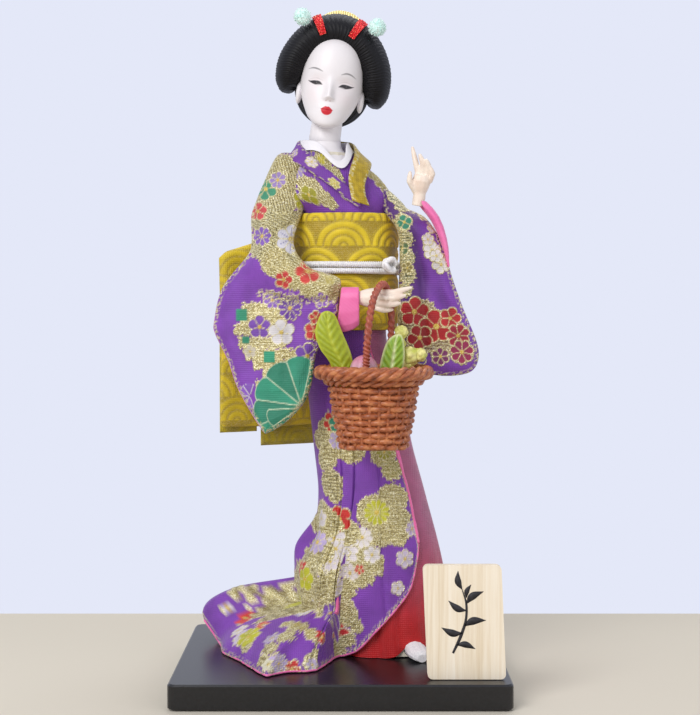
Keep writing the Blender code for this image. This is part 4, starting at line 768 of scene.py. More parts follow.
if ((cloth_grid[5] - cloth_grid[5].mean(axis=0)) * normals[5]).sum() < 0:
    normals = -normals
cloth_grid = cloth_grid + normals * (pleats + ripple * 0.6)[..., None]
cloth_grid[..., 2] = np.maximum(cloth_grid[..., 2], floor_of_doll + 0.2)
front = normals[..., 1] < 0.15
robe = Cloth(cloth_grid, flat, "#7F3FB2", front)
robe.facing = normals.reshape(-1, 3)
print("robe skirt", cloth_grid.shape, "cloth width mm", round(float(u[-1])))

# %% Robe skirt: the pattern
def around_place(spots, r):
    """The rounds of a cloud near the first of some places, each a place and its share of r."""
    robe.flatten_where(spots[0][0])
    found = [(robe.find(p), r * drawn_unit * k) for p, k in spots]
    return [(centre, size) for centre, size in found if abs(centre[0]) < 100]


ground_tone = unevenness(robe.flat, 30.0, 2.0)
robe.dye *= (1 + 0.07 * ground_tone)[:, None]
for seed, r, ground, spots in (
    (1, 11, "#5E5028", (((326, 460), 1.1), ((331, 484), 1.3), ((324, 446), 0.7), ((335, 496), 0.8))),
    (2, 11, "#8C8430", (((384, 455), 1.2), ((392, 470), 1.0), ((378, 446), 0.8))),
    (3, 14, dull_gold, (
        ((373, 513), 1.2), ((392, 500), 1.1), ((393, 524), 1.3), ((381, 534), 1.0), ((398, 536), 0.8),
    )),
    (4, 14, dull_gold, (
        ((308, 560), 1.0), ((322, 575), 1.2), ((340, 590), 1.3), ((330, 606), 1.1), ((352, 570), 1.2),
        ((365, 560), 0.9), ((345, 548), 1.0), ((312, 590), 0.9),
    )),
    (5, 12, "#6E5A4A", (((333, 545), 1.0), ((325, 532), 0.9), ((330, 520), 0.7))),
    (6, 9, dull_gold, (((236, 594), 1.0), ((252, 596), 1.1), ((270, 595), 1.1), ((284, 596), 0.9))),
    (7, 9, dull_gold, (((270, 650), 1.0), ((284, 640), 1.0), ((262, 662), 0.8), ((246, 650), 0.7))),
    (8, 9, dull_gold, (((348, 640), 1.0), ((336, 650), 1.0), ((326, 660), 1.1), ((356, 628), 0.8))),
    (9, 7, "#B5A45E", (((296, 630), 1.4), ((312, 636), 1.0), ((286, 628), 0.8))),
):
    cloud(robe, around_place(spots, r), seed=seed, ground=ground)
for spot, r, code, petals, turn in (
    ((377, 513), 12.0, "#C9C92E", 12, 0.2), ((345, 552), 11.0, "#EDE6EC", 7, 0.5),
    ((362, 538), 10.0, "#F3ECEF", 8, 0.1), ((330, 563), 9.0, "#E9DFE9", 6, 0.9),
    ((318, 578), 9.5, "#F1E9EE", 6, 0.2), ((350, 575), 9.0, "#EFE4EA", 7, 1.2),
    ((336, 588), 9.0, "#E8DCEB", 6, 0.6), ((372, 556), 8.0, "#F3EDF2", 6, 0.4),
    ((314, 548), 7.0, "#E3D6EA", 5, 0.0), ((303, 612), 12.5, "#EAE6F2", 8, 0.3),
    ((360, 571), 5.0, "#D8302C", 5, 0.3), ((337, 633), 8.0, "#D62F34", 5, 0.2),
    ((322, 640), 6.0, "#D8383A", 5, 0.9), ((244, 622), 11.0, "#E2402E", 6, 0.0),
    ((262, 626), 7.0, "#DD4A3C", 5, 0.6), ((291, 672), 8.0, "#D4342C", 5, 0.2),
    ((240, 640), 10.0, "#D9CDEB", 8, 0.2), ((272, 640), 8.0, "#C9B7E6", 7, 0.4),
    ((330, 615), 8.0, "#8C5AC0", 6, 0.7), ((228, 612), 6.0, "#E9E2F0", 5, 0.0),
    ((384, 452), 7.5, "#A9A52C", 9, 0.2), ((305, 585), 6.0, "#DED2C6", 6, 0.2),
    ((405, 560), 8.0, "#D9CCE8", 6, 0.6), ((398, 590), 6.0, "#E8DDF0", 5, 0.1),
    ((412, 530), 7.0, "#C7B4DE", 6, 0.9), ((268, 668), 6.0, "#E9E6D0", 6, 0.2),
    ((312, 668), 6.0, "#CBBBE6", 6, 0.2),
):
    robe.flatten_where(spot)
    blossom(robe, robe.find(spot), r * drawn_unit * 1.12, code, petals, turn, rim=0.42,
            vein="#5E58A8" if spot == (303, 612) else None, outline="#EFE7C4")


print("robe skirt: the pattern: ready")

# %% Robe skirt: the back and the edges
# Behind, where the photograph doesn't reach, the same clouds and flowers repeat
for k in range(26):
    robe.flatten_at(int(rng.integers(30, len(rows) - 8)) * len(columns) + int(rng.integers(175, len(columns))))
    if k % 2:
        cloud(
            robe, [(np.array(c, float), size) for c, size in (((0, 0), 7.0), ((6, 3), 6.0), ((-5, 4), 5.0))],
            seed=20 + k,
        )
    blossom(
        robe, rng.uniform(-4, 4, 2), rng.uniform(4.0, 6.5),
        ("#EDE6EC", "#D8302C", "#C9C92E", "#C9B7E6", "#2E9478")[k % 5], (5, 7, 8)[k % 3], k * 0.3,
    )
robe.flat = flat.reshape(-1, 2)
hem_distance = v[-1][None, :] - v
scatter_sparks(robe, hem_distance.ravel(), 3.2, 0.9)
robe.lay(soft(across.ravel() - 1.6, 0.6), "#E35A9E", 0.0, 0.0)
scatter_sparks(robe, across.ravel() - 2.5, 1.8, 0.7, 9.0)
cloth_grid = cloth_grid + normals * (robe.lift.reshape(v.shape) * 1.1)[..., None]
coarse = cloth_grid[::2, ::3] - normals[::2, ::3] * (1.3 + np.abs(pleats[::2, ::3, None]) * 0.6)
coarse = np.concatenate([coarse, (cloth_grid[-1:, ::3] - normals[-1:, ::3] * 0.9)])
piece("robe_skirt", cloth_grid, grid_faces(*v.shape), robe_silk, ["kimono_skirt"], dye=robe.dye, gilt=robe.gilt)
print("robe skirt triangles", 2 * (v.shape[0] - 1) * (v.shape[1] - 1))

# %% Robe skirt: its lining and the rolled pink edge
coarse[..., 2] = np.maximum(coarse[..., 2], floor_of_doll + 0.05)
piece("robe_skirt_lining", coarse, grid_faces(*coarse.shape[:2]), pink_satin)
edge_path = cloth_grid[36:, 0] - normals[36:, 0] * 0.3
points, faces = rod(edge_path[::2], 0.75, 8)
piece("robe_front_piping", points, faces, pink_satin)
hem_path = cloth_grid[-1, ::3] - normals[-1, ::3] * 0.3
hem_path[:, 2] = np.maximum(hem_path[:, 2], floor_of_doll + 0.5)
points, faces = rod(hem_path, 0.5, 6)
piece("robe_hem_piping", points, faces, pink_satin)
band = np.linspace(0.34, 0.99, 120)
strip = []
for across in (0.0, 0.35, 0.7, 1.0):
    edge = robe_skirt(np.zeros_like(band), band)
    section = through(under_skirt_sections, edge[:, 2])
    turn = (
        np.arctan2(edge[:, 1] - section[:, 1], edge[:, 0] - section[:, 0])
        + np.radians(-2.0 + 9.0 * across * (1 - 0.8 * ease(band, 0.62, 0.84)))
    )
    strip.append(around(under_skirt_sections, turn, edge[:, 2], 0.75 + 0.3 * math.sin(math.pi * across)))
strip = np.array(strip)
piece("front_lining_band", strip, grid_faces(*strip.shape[:2]), pink_satin, ["skirt_lining"])
print("robe skirt is dressed")

# %% [markdown]
# ## The bodice and its collars
# The bodice is wrapped left over right over the padded trunk. It is a tube of the same brocade, painted with
# the same motifs, with a few creases that run from the shoulders to the sash. The collars are folded bands
# laid over it: white silk inside, then the purple one, then the gold one on top.

# %% Bodice
turns = np.linspace(0, math.tau, 280, endpoint=False)
heights = np.linspace(240.0, 193.0, 84)
t, h = np.meshgrid(turns, heights)
off_front = (t - robe_opening + math.pi) % math.tau - math.pi
neckline = 240.0 - 8.2 * np.exp(-((off_front / 0.5) ** 2))
h = 193.0 + (h - 193.0) * (neckline - 193.0) / 47.0
grid = around(bodice_sections, t, h, -0.25)
crease = 0.5 * lumpy(np.stack([t * 22, h, 0 * t], axis=-1), 9.0) * ease(h, 208, 216) * (1 - ease(h, 232, 239))
normals = grid - np.stack([0 * h - 5.0, 0 * h + 9.5, h], axis=-1)
normals[..., 2] = 0
normals /= np.linalg.norm(normals, axis=2, keepdims=True)
grid = grid + normals * crease[..., None] * 0.7
bodice = Cloth(grid, np.stack([t * 21.0, h], axis=-1), "#7F3FB2", normals[..., 1] < 0.2)
shoulder_cloud = [
    (bodice.find(p), r * drawn_unit)
    for p, r in (
        ((290, 162), 15), ((304, 158), 14), ((318, 166), 12), ((298, 186), 14), ((312, 190), 13),
        ((286, 202), 13), ((326, 200), 10),
    )
]
cloud(bodice, shoulder_cloud, seed=41, ground="#6C5C2E", bars=1.2, slant=1.2)
cloud(
    bodice,
    [
        (bodice.find(p), r * drawn_unit)
        for p, r in (
            ((288, 152), 13), ((300, 148), 11), ((312, 158), 12), ((326, 168), 11), ((282, 168), 13),
            ((336, 176), 9),
        )
    ],
    seed=42, ground="#6C5C2E", bars=1.2, slant=1.4,
)
for spot, r, code, petals in (
    ((312, 152), 9, "#7A4DB8", 6), ((298, 168), 12, "#A993CE", 10), ((290, 190), 10, "#7344AE", 8),
    ((322, 160), 7, "#C9BE36", 5), ((309, 195), 10, "#A5A022", 4), ((333, 182), 6, "#7F3FB2", 5),
    ((346, 196), 6, "#E3D9F2", 4), ((384, 185), 12, "#A89A52", 9), ((394, 200), 10, "#8E8650", 8),
    ((372, 176), 7, "#B7A85C", 6), ((268, 200), 8, "#2E8B6E", 5),
):
    blossom(bodice, bodice.find(spot), r * drawn_unit, code, petals, 0.4, rim=0.4, outline="#D9CFA0")
for k in range(14):
    spot = np.array((21.0 * rng.uniform(0.3, 2.9), rng.uniform(200, 236)))
    cloud(bodice, [(spot, 4.0), (spot + (4, 2), 3.5)], seed=60 + k)
    blossom(bodice, spot + (1, -3), 3.6, ("#EDE6EC", "#D8302C", "#C9C92E")[k % 3], 5 + k % 3, k * 0.4)
grid = grid + normals * bodice.lift.reshape(h.shape)[..., None]
inner = around(bodice_sections, t[:1], h[:1], -1.15)
grid = np.concatenate([inner, grid])
first = np.arange(len(turns))
dye = np.concatenate([bodice.dye[first], bodice.dye])
gilt = np.concatenate([bodice.gilt[first] * 0, bodice.gilt])
piece(
    "robe_bodice", grid, grid_faces(len(grid), len(turns), closed=True), robe_silk, ["kimono_bodice"], dye=dye,
    gilt=gilt,
)
print("bodice", grid.shape)

# %% Collars
def collar_band(path, width, low, high, steps=150, across=15):
    """A folded band over the bodice. The path is (angle in degrees, height) pairs."""
    keyed = [(i / (len(path) - 1), *p) for i, p in enumerate(path)]
    share = np.linspace(0, 1, steps)
    here = through(keyed, share)
    run = through(keyed, share + 0.02) - through(keyed, share - 0.02)
    section = through(bodice_sections, here[:, 1])
    reach = (section[:, 2] + section[:, 3]) / 2
    run = np.column_stack([np.radians(run[:, 0]) * reach, run[:, 1]])
    run /= np.linalg.norm(run, axis=1, keepdims=True)
    s = np.linspace(-0.5, 0.5, across)
    turn = np.radians(here[:, :1]) - run[:, 1:] * s * width / reach[:, None]
    height = here[:, 1:] + run[:, :1] * s * width
    puff = np.sqrt(np.clip(1 - (2 * np.abs(s)) ** 6, 0, 1))[None, :]
    top = around(bodice_sections, turn, height, low + (high - low) * puff)
    under = around(bodice_sections, turn, height, low + 0 * puff)
    loop = np.concatenate([top, under[:, ::-1]], axis=1)
    flat = np.stack(
        [
            np.broadcast_to(share[:, None] * 60, (steps, 2 * across)),
            np.broadcast_to(np.concatenate([s, s[::-1]]) * width, (steps, 2 * across)),
        ],
        axis=-1,
    )
    return loop, flat, capped(steps, 2 * across)


loop, flat, faces = collar_band(
    ((-268, 243), (-215, 242), (-170, 240.5), (-125, 234.5), (-82, 224.5), (-60, 214.5)), 6.6, 1.5, 2.6
)
cuff = Cloth(loop, flat, "#7234A2")
for k, code in enumerate(("#E8DDF3", "#C9BE62", "#E6D9EE", "#B79BDB", "#D8302C")):
    blossom(cuff, np.array((58 - 9.5 * k, 1.2 - 2.2 * (k % 2))), 2.3, code, 5 + k % 3, k, rim=0.35)
scatter_sparks(cuff, np.abs(cuff.flat[:, 1]) - 3.1, 0.7, 0.8)
piece("robe_collar_right", loop, faces, robe_silk, ["lapel_right"], dye=cuff.dye, gilt=cuff.gilt)

loop, flat, faces = collar_band(
    ((88, 243), (50, 242), (10, 240), (-25, 234.5), (-50, 225.5), (-62, 214.5)), 6.6, 2.9, 4.0
)
cuff = Cloth(loop, flat, "#B59A1C")
scatter_sparks(cuff, np.abs(np.abs(cuff.flat[:, 1]) - 2.9) - 0.35, 0.5, 0.9)
cuff.dye *= (1 + 0.2 * unevenness(cuff.flat, 2.0, 3.0))[:, None]
piece("robe_collar_left", loop, faces, robe_silk, ["lapel_left"], dye=cuff.dye, gilt=cuff.gilt)
print("collars: ready")

# %% White inner collar
turns = np.linspace(0, math.tau, 200, endpoint=False)
share = np.linspace(0, 1, 12)
t, s = np.meshgrid(turns, share)
off = (t - robe_opening + math.pi) % math.tau - math.pi
h = 239.0 - 8.5 * np.exp(-((off / 0.45) ** 2)) + 5.4 * s * (1 - 0.35 * np.exp(-((off / 1.1) ** 2)))
outer = around(bodice_sections, t, h, 1.15 + 0.15 * np.sin(s * math.pi))
inner = around(bodice_sections, t, h, 0.55)
loop = np.concatenate([outer, inner[::-1]])
piece("white_inner_collar", loop, grid_faces(24, 200, closed=True), white_silk, ["under_collar"])
print("collars laid")

# %% [markdown]
# ## The sleeves
# A robe's sleeve is a flat bag hanging from the arm. Seen from the front, its outline is the shape that
# counts, so each row of the mesh runs from the outline's left edge to its right edge on the front, and back
# again behind. Its thickness swells where the padded arm lies inside. The forearm makes a fold across the
# right bag, with a deep crease under it.

# %% Sleeve outlines and their surface
right_outline = (
    (-14.0, 235.5), (-22.0, 238.0), (-29.0, 237.0), (-35.5, 224.0), (-38.7, 216.0), (-40.6, 209.0),
    (-40.0, 198.0), (-41.5, 191.5), (-53.0, 177.0), (-57.0, 162.0), (-56.4, 156.0), (-50.7, 144.7),
    (-45.9, 131.6), (-35.5, 114.2), (-31.9, 112.8), (-22.7, 118.9), (-15.5, 127.5), (-12.5, 136.0),
    (-11.0, 147.0), (-6.0, 157.0), (-1.5, 165.0), (-0.8, 172.0), (0.0, 179.6), (-4.0, 182.5), (-14.0, 186.0),
    (-21.0, 197.0), (-16.5, 215.0),
)
left_outline = (
    (17.0, 224.5), (22.5, 221.0), (27.7, 215.8), (29.9, 212.8), (33.0, 211.5), (38.0, 208.5), (42.4, 202.3),
    (46.4, 192.9), (50.5, 179.5), (54.9, 167.4), (60.7, 153.1), (61.6, 145.1), (58.1, 139.3), (49.0, 137.4),
    (40.6, 138.0), (30.0, 139.0), (26.5, 146.0), (25.4, 165.0), (26.2, 190.0), (25.0, 203.0), (19.5, 212.0),
)


def round_outline(corners, spacing):
    corners = np.asarray(corners, float)
    points = []
    for k in range(len(corners)):
        before, a, b, after = (corners[(k + i) % len(corners)] for i in (-1, 0, 1, 2))
        s = np.arange(0, 1, spacing / np.linalg.norm(b - a))[:, None]
        points.append(
            0.5
            * (
                2 * a + (b - before) * s + (2 * before - 5 * a + 4 * b - after) * s**2
                + (3 * a - before - 3 * b + after) * s**3
            )
        )
    return np.concatenate(points)


def sides_at(corners, levels):
    """The x of an outline's left and right side at each height."""
    ends = np.roll(corners, -1, axis=0)
    sides = []
    for level in levels:
        crossing = (corners[:, 1] > level) != (ends[:, 1] > level)
        a, b = corners[crossing], ends[crossing]
        x = a[:, 0] + (level - a[:, 1]) / (b[:, 1] - a[:, 1]) * (b[:, 0] - a[:, 0])
        sides.append((x.min(), x.max()))
    return np.array(sides).T


def bag(outline, rows, columns):
    """Rows between an outline's two sides: x and z of each point, and its distance to the edge."""
    edge = round_outline(outline, 1.0)
    low, high = edge[:, 1].min(), edge[:, 1].max()
    share = (
        0.75 * np.linspace(0.002, 0.998, rows) + 0.125 * (1 - np.cos(np.linspace(0.02, 0.98, rows) * math.pi))
    )
    z = low + (high - low) * share
    left, right = sides_at(edge, z)
    s = np.linspace(0, 1, columns)
    s = 0.7 * s + 0.15 * (1 - np.cos(s * math.pi))
    x = left[:, None] + (right - left)[:, None] * s
    zz = np.broadcast_to(z[:, None], x.shape)
    flat = np.stack([x, zz], axis=-1)
    inside = -polygon_edge(flat.reshape(-1, 2), edge[::2]).reshape(x.shape)
    return flat, np.maximum(inside, 0.0)


def bag_half(z, inside, bag_thick=4.2, arm_thick=8.0):
    full = bag_thick + (arm_thick - bag_thick) * ease(z, 186.0, 212.0)
    swell = np.clip(inside / (full * 1.4), 0, 1)
    return 0.25 + (full - 0.25) * np.sqrt(1 - (1 - swell) ** 2)


def line_distance(flat, *path):
    """Distance from a line through places, and how far along it each point is."""
    path = np.asarray(path, float)
    best = np.full(flat.shape[:-1], 1e9)
    where = np.zeros(flat.shape[:-1])
    total = np.linalg.norm(np.diff(path, axis=0), axis=1).sum()
    walked = 0.0
    for a, b in zip(path, path[1:]):
        run = b - a
        length = np.linalg.norm(run)
        share = np.clip(((flat - a) @ run) / length**2, 0, 1)
        gap = np.linalg.norm(flat - a - share[..., None] * run, axis=-1)
        where = np.where(gap < best, (walked + share * length) / total, where)
        best = np.minimum(best, gap)
        walked += length
    return best, where


def groove(flat, path, deep, wide):
    gap, where = line_distance(flat, *path)
    return -deep * np.exp(-((gap / wide) ** 2)) * np.sin(np.clip(where, 0.04, 0.96) * math.pi) ** 0.5


print("sleeve outlines and their surface: ready")

# %% Right sleeve: shape
def up(px, py, y=-12.0):
    """A place on the elevation as x and z in the plane at that depth."""
    near = (y + eye_back) / eye_scale
    return (eye_x + (px - elevation_centre[0]) * near, eye_z - (py - elevation_centre[1]) * near)


flat, inside = bag(right_outline, 240, 132)
x, z = flat[..., 0], flat[..., 1]
middle = -23.5 - 0.31 * x
middle = middle + (4.0 - middle) * ease(z, 184.0, 222.0)
half = bag_half(z, inside)
arm, _ = line_distance(flat, up(262, 232), up(268, 262), up(300, 276), up(340, 289))
relief = 3.2 * np.exp(-((arm / 8.5) ** 2)) * ease(inside, 0.5, 6.0)
relief += groove(flat, (up(262, 292), up(290, 301), up(322, 302), up(342, 297)), 2.2, 1.8)
relief += groove(flat, (up(258, 240), up(268, 262), up(276, 285)), 0.9, 1.5)
relief += groove(flat, (up(300, 218), up(282, 232), up(262, 238)), 1.4, 1.6)
relief += groove(flat, (up(303, 248), up(280, 262), up(268, 258)), 1.3, 1.7)
relief += groove(flat, (up(292, 304), up(288, 350), up(282, 410)), 0.9, 2.6)
relief += groove(flat, (up(250, 282), up(242, 330), up(250, 380)), 1.0, 3.0)
relief += groove(flat, (up(322, 312), up(316, 350), up(300, 390)), 0.8, 2.4)
relief += 0.35 * lumpy(np.stack([x, z, 0 * x], axis=-1), 13.0)
relief *= ease(inside, 0.0, 3.0)
front_side = np.stack([x, middle - half - relief, z], axis=-1)
back_side = np.stack(
    [x, middle + half + 0.3 * lumpy(np.stack([x, z, 0 * x + 9], axis=-1), 14.0) * ease(inside, 0, 3), z],
    axis=-1,
)
print("right sleeve", front_side.shape)

# %% Right sleeve: pattern
sleeve = Cloth(front_side, flat, "#8444B8")
sleeve.dye *= (1 + 0.06 * unevenness(sleeve.flat, 22.0, 4.0))[:, None]


def rounds(cloth, *spots):
    """The rounds of a cloud, each given as a place on the elevation and a radius."""
    return [(cloth.find((a, b)), r * drawn_unit) for a, b, r in spots]


cloud(
    sleeve,
    rounds(
        sleeve, (262, 215, 16), (276, 222, 16), (290, 240, 20), (276, 250, 18), (296, 258, 16), (262, 245, 14),
        (300, 225, 14),
    ),
    seed=71, ground="#5F5428", bars=1.3, slant=0.5,
)
cloud(
    sleeve,
    rounds(
        sleeve, (282, 168, 14), (274, 182, 14), (266, 196, 13), (288, 184, 14), (284, 200, 15), (296, 172, 12)
    ),
    seed=74, ground="#6A5A2C", bars=1.2, slant=1.3,
)
cloud(
    sleeve,
    rounds(
        sleeve, (275, 262, 14), (292, 275, 14), (312, 282, 15), (330, 286, 13), (340, 284, 9), (300, 270, 11)
    ),
    seed=72, ground="#8E7C3C", bars=1.1, slant=-0.4,
)
for a, b, w in (
    (262, 308, 22), (264, 318, 26), (258, 330, 26), (262, 343, 26), (272, 354, 30), (284, 364, 34),
    (290, 376, 30), (278, 386, 24),
):
    spot = sleeve.find((a, b))
    run = np.abs(sleeve.flat - spot)
    gold_field(
        sleeve, np.maximum(run[:, 0] - w * drawn_unit * 0.9, run[:, 1] - 5.4 * drawn_unit), bars=1.0,
        seed=73 + a % 7, ground="#94803E", rim=0.8, fill=0.9,
    )
for a, b, w in ((242, 315, 9), (269, 357, 9), (246, 340, 6)):
    spot = sleeve.find((a, b))
    run = np.abs(sleeve.flat - spot)
    sleeve.lay(soft(np.maximum(run[:, 0], run[:, 1]) - w * drawn_unit * 0.62), "#2F9A78", 0.0, 0.3)
for spot, r, code, petals, turn in (
    ((291, 239), 15, "#E4E2F0", 6, 0.5), ((306, 200), 12, "#B0AC22", 5, 0.3),
    ((266, 190), 12, "#3E9A78", 5, 0.8), ((258, 212), 10, "#D8484E", 5, 0.2),
    ((262, 236), 10, "#8A60C4", 8, 0.1), ((278, 180), 9, "#A58CD0", 7, 0.5),
    ((308, 272), 13, "#D8413C", 5, 0.6), ((284, 280), 9, "#D23A3C", 5, 0.0), ((330, 279), 6, "#C8B868", 5, 0.2),
    ((260, 327), 12, "#8350BE", 5, 0.3), ((307, 356), 13, "#7E4CBC", 5, 0.1),
    ((281, 332), 13, "#EEEAF0", 5, 0.4), ((290, 308), 12, "#7644B0", 9, 0.2),
    ((272, 300), 9, "#9468CC", 7, 0.7), ((314, 331), 10, "#D43438", 5, 0.1), ((316, 318), 7, "#D43438", 5, 0.4),
    ((322, 300), 8, "#8B56C4", 5, 0.5), ((250, 352), 7, "#E6DCCB", 5, 0.5),
):
    blossom(
        sleeve, sleeve.find(spot), r * drawn_unit, code, petals, turn, rim=0.5 if code != "#EEEAF0" else 0.3,
        vein="#4C46A0" if r == 15 else None,
    )
fan_leaf(sleeve, sleeve.find((306, 408)), 48 * drawn_unit, 62, 222, 6)
fan_leaf(sleeve, sleeve.find((316, 420)), 34 * drawn_unit, 200, 262, 3)
fan_leaf(sleeve, sleeve.find((250, 396)), 12 * drawn_unit, 100, 260, 4, outline="#CDBFE8", dye="#8A5AC4")
edge_in = inside.ravel()
low_side = 1 - ease(z.ravel(), 150, 185)
scatter_sparks(sleeve, edge_in - 0.6, 1.7, 0.95, 3.0)
sleeve.lay(soft(edge_in - 0.5, 0.5) * ease(-x.ravel(), 30, 40) * low_side, "#D77FD0", 0.0, 0.0)
fold_gap, _ = line_distance(flat, up(262, 294), up(300, 299), up(340, 300))
scatter_sparks(sleeve, fold_gap.ravel() - 1.0, 1.6, 0.9, 8.0)
shade_in_crease = np.clip(-relief.ravel() / 2.2, 0, 1)
sleeve.dye *= (1 - 0.45 * shade_in_crease)[:, None]
print("right sleeve: pattern: ready")

# %% Right sleeve: its back, and both sides joined
back_sleeve = Cloth(back_side, flat, "#8444B8")
for k in range(12):
    spot = np.array((rng.uniform(-50, -12), rng.uniform(122, 225)))
    cloud(back_sleeve, [(spot, 6.0), (spot + (5, 2), 5.0), (spot + (-4, 3), 4.5)], seed=90 + k)
    blossom(
        back_sleeve, spot + rng.uniform(-4, 4, 2), 5.0, ("#EDE6EC", "#D8302C", "#2E9478", "#C9C92E")[k % 4],
        5 + k % 3, k * 0.5,
    )
scatter_sparks(back_sleeve, edge_in - 0.6, 1.7, 0.9, 3.0)


def bag_piece(name, front_points, front_cloth, back_points, back_cloth, stands_for):
    """Joins the front and back of a sleeve into one closed cloth."""
    front_points = (
        front_points - np.array((0, 1, 0)) * front_cloth.lift.reshape(front_points.shape[:2])[..., None]
    )
    back_points = back_points + np.array((0, 1, 0)) * back_cloth.lift.reshape(back_points.shape[:2])[..., None]
    behind = slice(None, None, -2)
    loops = np.concatenate([front_points, back_points[:, behind]], axis=1)
    shape = front_points.shape[:2]
    dyes = np.concatenate(
        [front_cloth.dye.reshape(*shape, 3), back_cloth.dye.reshape(*shape, 3)[:, behind]], axis=1
    )
    gilts = np.concatenate([front_cloth.gilt.reshape(shape), back_cloth.gilt.reshape(shape)[:, behind]], axis=1)
    return piece(name, loops, capped(*loops.shape[:2]), robe_silk, stands_for, dye=dyes, gilt=gilts)


made = bag_piece("robe_sleeve_right", front_side, sleeve, back_side, back_sleeve, ["right_sleeve"])
print("right sleeve triangles", 2 * len(made.data.polygons))

# %% Left sleeve
flat, inside = bag(left_outline, 200, 100)
x, z = flat[..., 0], flat[..., 1]
middle = -5.0 - 0.05 * (x - 30.0)
middle = middle + (8.0 - middle) * ease(z, 200.0, 226.0)
half = bag_half(z, inside)
relief = groove(flat, ((30, 205), (36, 185), (37, 160), (38, 142)), 1.6, 2.0)
relief += groove(flat, ((31, 188), (45, 172), (54, 158)), 0.9, 3.0)
relief += groove(flat, ((40, 195), (46, 170), (52, 150)), 0.8, 2.2)
relief += 0.5 * lumpy(np.stack([x, z, 0 * x + 4], axis=-1), 14.0)
relief *= ease(inside, 0.0, 3.0)
front_side = np.stack([x, middle - half - relief, z], axis=-1)
back_side = np.stack(
    [x, middle + half + 0.3 * lumpy(np.stack([x, z, 0 * x + 9], axis=-1), 14.0) * ease(inside, 0, 3), z],
    axis=-1,
)
sleeve = Cloth(front_side, flat, "#7C3CAE")
# Painted shade: the sleeve's inner part, next to the sash, is darkened by up to 55 %.
sleeve.dye *= (1 - 0.55 * (1 - ease(x, 30, 41)).ravel()[:, None])
cloud(
    sleeve,
    rounds(
        sleeve, (402, 222, 9), (404, 240, 9), (406, 258, 9), (408, 276, 8), (402, 205, 8), (405, 290, 7),
        (396, 196, 9),
    ),
    seed=111, ground="#3C4A2C", bars=1.2,
)
cloud(
    sleeve,
    rounds(
        sleeve, (404, 318, 13), (424, 312, 12), (442, 322, 13), (456, 334, 12), (440, 344, 14), (462, 352, 12),
        (420, 340, 14),
    ),
    seed=112, ground="#5B2A30", fill=0.35,
)
for spot, r, code, petals, turn in (
    ((404, 222), 8, "#2E8B6E", 4, 0.3), ((402, 248), 7, "#57744A", 4, 0.7), ((407, 268), 6, "#8E8040", 5, 0.1),
    ((432, 250), 9, "#F2ECEF", 5, 0.2), ((441, 264), 9, "#F2ECEF", 5, 0.8), ((428, 240), 6, "#EADFEA", 5, 0.3),
    ((436, 256), 7, "#F2ECEF", 5, 0.0), ((414, 312), 15, "#C01C24", 5, 0.2),
    ((436, 326), 17, "#B8161E", 5, 0.5), ((420, 338), 13, "#A8141C", 5, 0.8),
    ((450, 318), 11, "#C4242A", 5, 0.0), ((458, 336), 12, "#B01A3A", 7, 0.4),
    ((462, 352), 12, "#9E1E54", 7, 0.2), ((440, 356), 9, "#7C2A66", 6, 0.6),
    ((416, 362), 10, "#5F3D9A", 5, 0.3), ((425, 215), 5, "#C9BE62", 5, 0.3), ((432, 228), 5, "#E7DDEE", 5, 0.6),
):
    blossom(sleeve, sleeve.find(spot), r * drawn_unit, code, petals, turn, rim=0.5)
edge_in = inside.ravel()
scatter_sparks(sleeve, edge_in - 0.6, 1.6, 0.95, 13.0)
# Painted shade: the cloth is darkened along the sleeve's creases.
sleeve.dye *= (1 - 0.4 * np.clip(-relief.ravel() / 1.8, 0, 1))[:, None]
back_sleeve = Cloth(back_side, flat, "#7C3CAE")
for k in range(9):
    spot = np.array((rng.uniform(32, 56), rng.uniform(142, 210)))
    cloud(back_sleeve, [(spot, 5.0), (spot + (4, 2), 4.5), (spot + (-4, 3), 4.0)], seed=130 + k)
    blossom(
        back_sleeve, spot + rng.uniform(-3, 3, 2), 4.6, ("#D8302C", "#EDE6EC", "#C9C92E")[k % 3], 5 + k % 3,
        k * 0.5,
    )
scatter_sparks(back_sleeve, edge_in - 0.6, 1.6, 0.9, 13.0)
made = bag_piece("robe_sleeve_left", front_side, sleeve, back_side, back_sleeve, ["left_sleeve"])
print("left sleeve triangles", 2 * len(made.data.polygons))

# %% [markdown]
# ## The sash, its cord and the bow
# The sash is a stiff gold brocade wound flat around the waist. Its wave pattern, rings of nested arcs, is
# real relief here, with darker thread between the arcs. A braided white cord holds it, tied at the front
# left. The bow behind is the same cloth folded square over a pad, with two loose ends below.

# %% Sash
def wave_rings(u, v, size):
    """The nested arcs of a wave pattern: each point belongs to the front-most scale over it."""
    best = np.full(u.shape, 1e9)
    for row in range(-1, 2):
        level = np.floor(v / (size * 0.5)) + row
        centre_v = level * size * 0.5
        centre_u = (np.round(u / size - 0.5 * (level % 2)) + 0.5 * (level % 2)) * size
        reach = np.hypot(u - centre_u, v - centre_v)
        inside_scale = (reach < size * 0.52) & (v > centre_v - 1e-6)
        best = np.where(inside_scale & (best > 1e8), reach, best)
    best = np.where(best > 1e8, size * 0.5, best)
    return (0.5 + 0.5 * np.cos(best / size * math.tau * 7.0)) ** 0.7


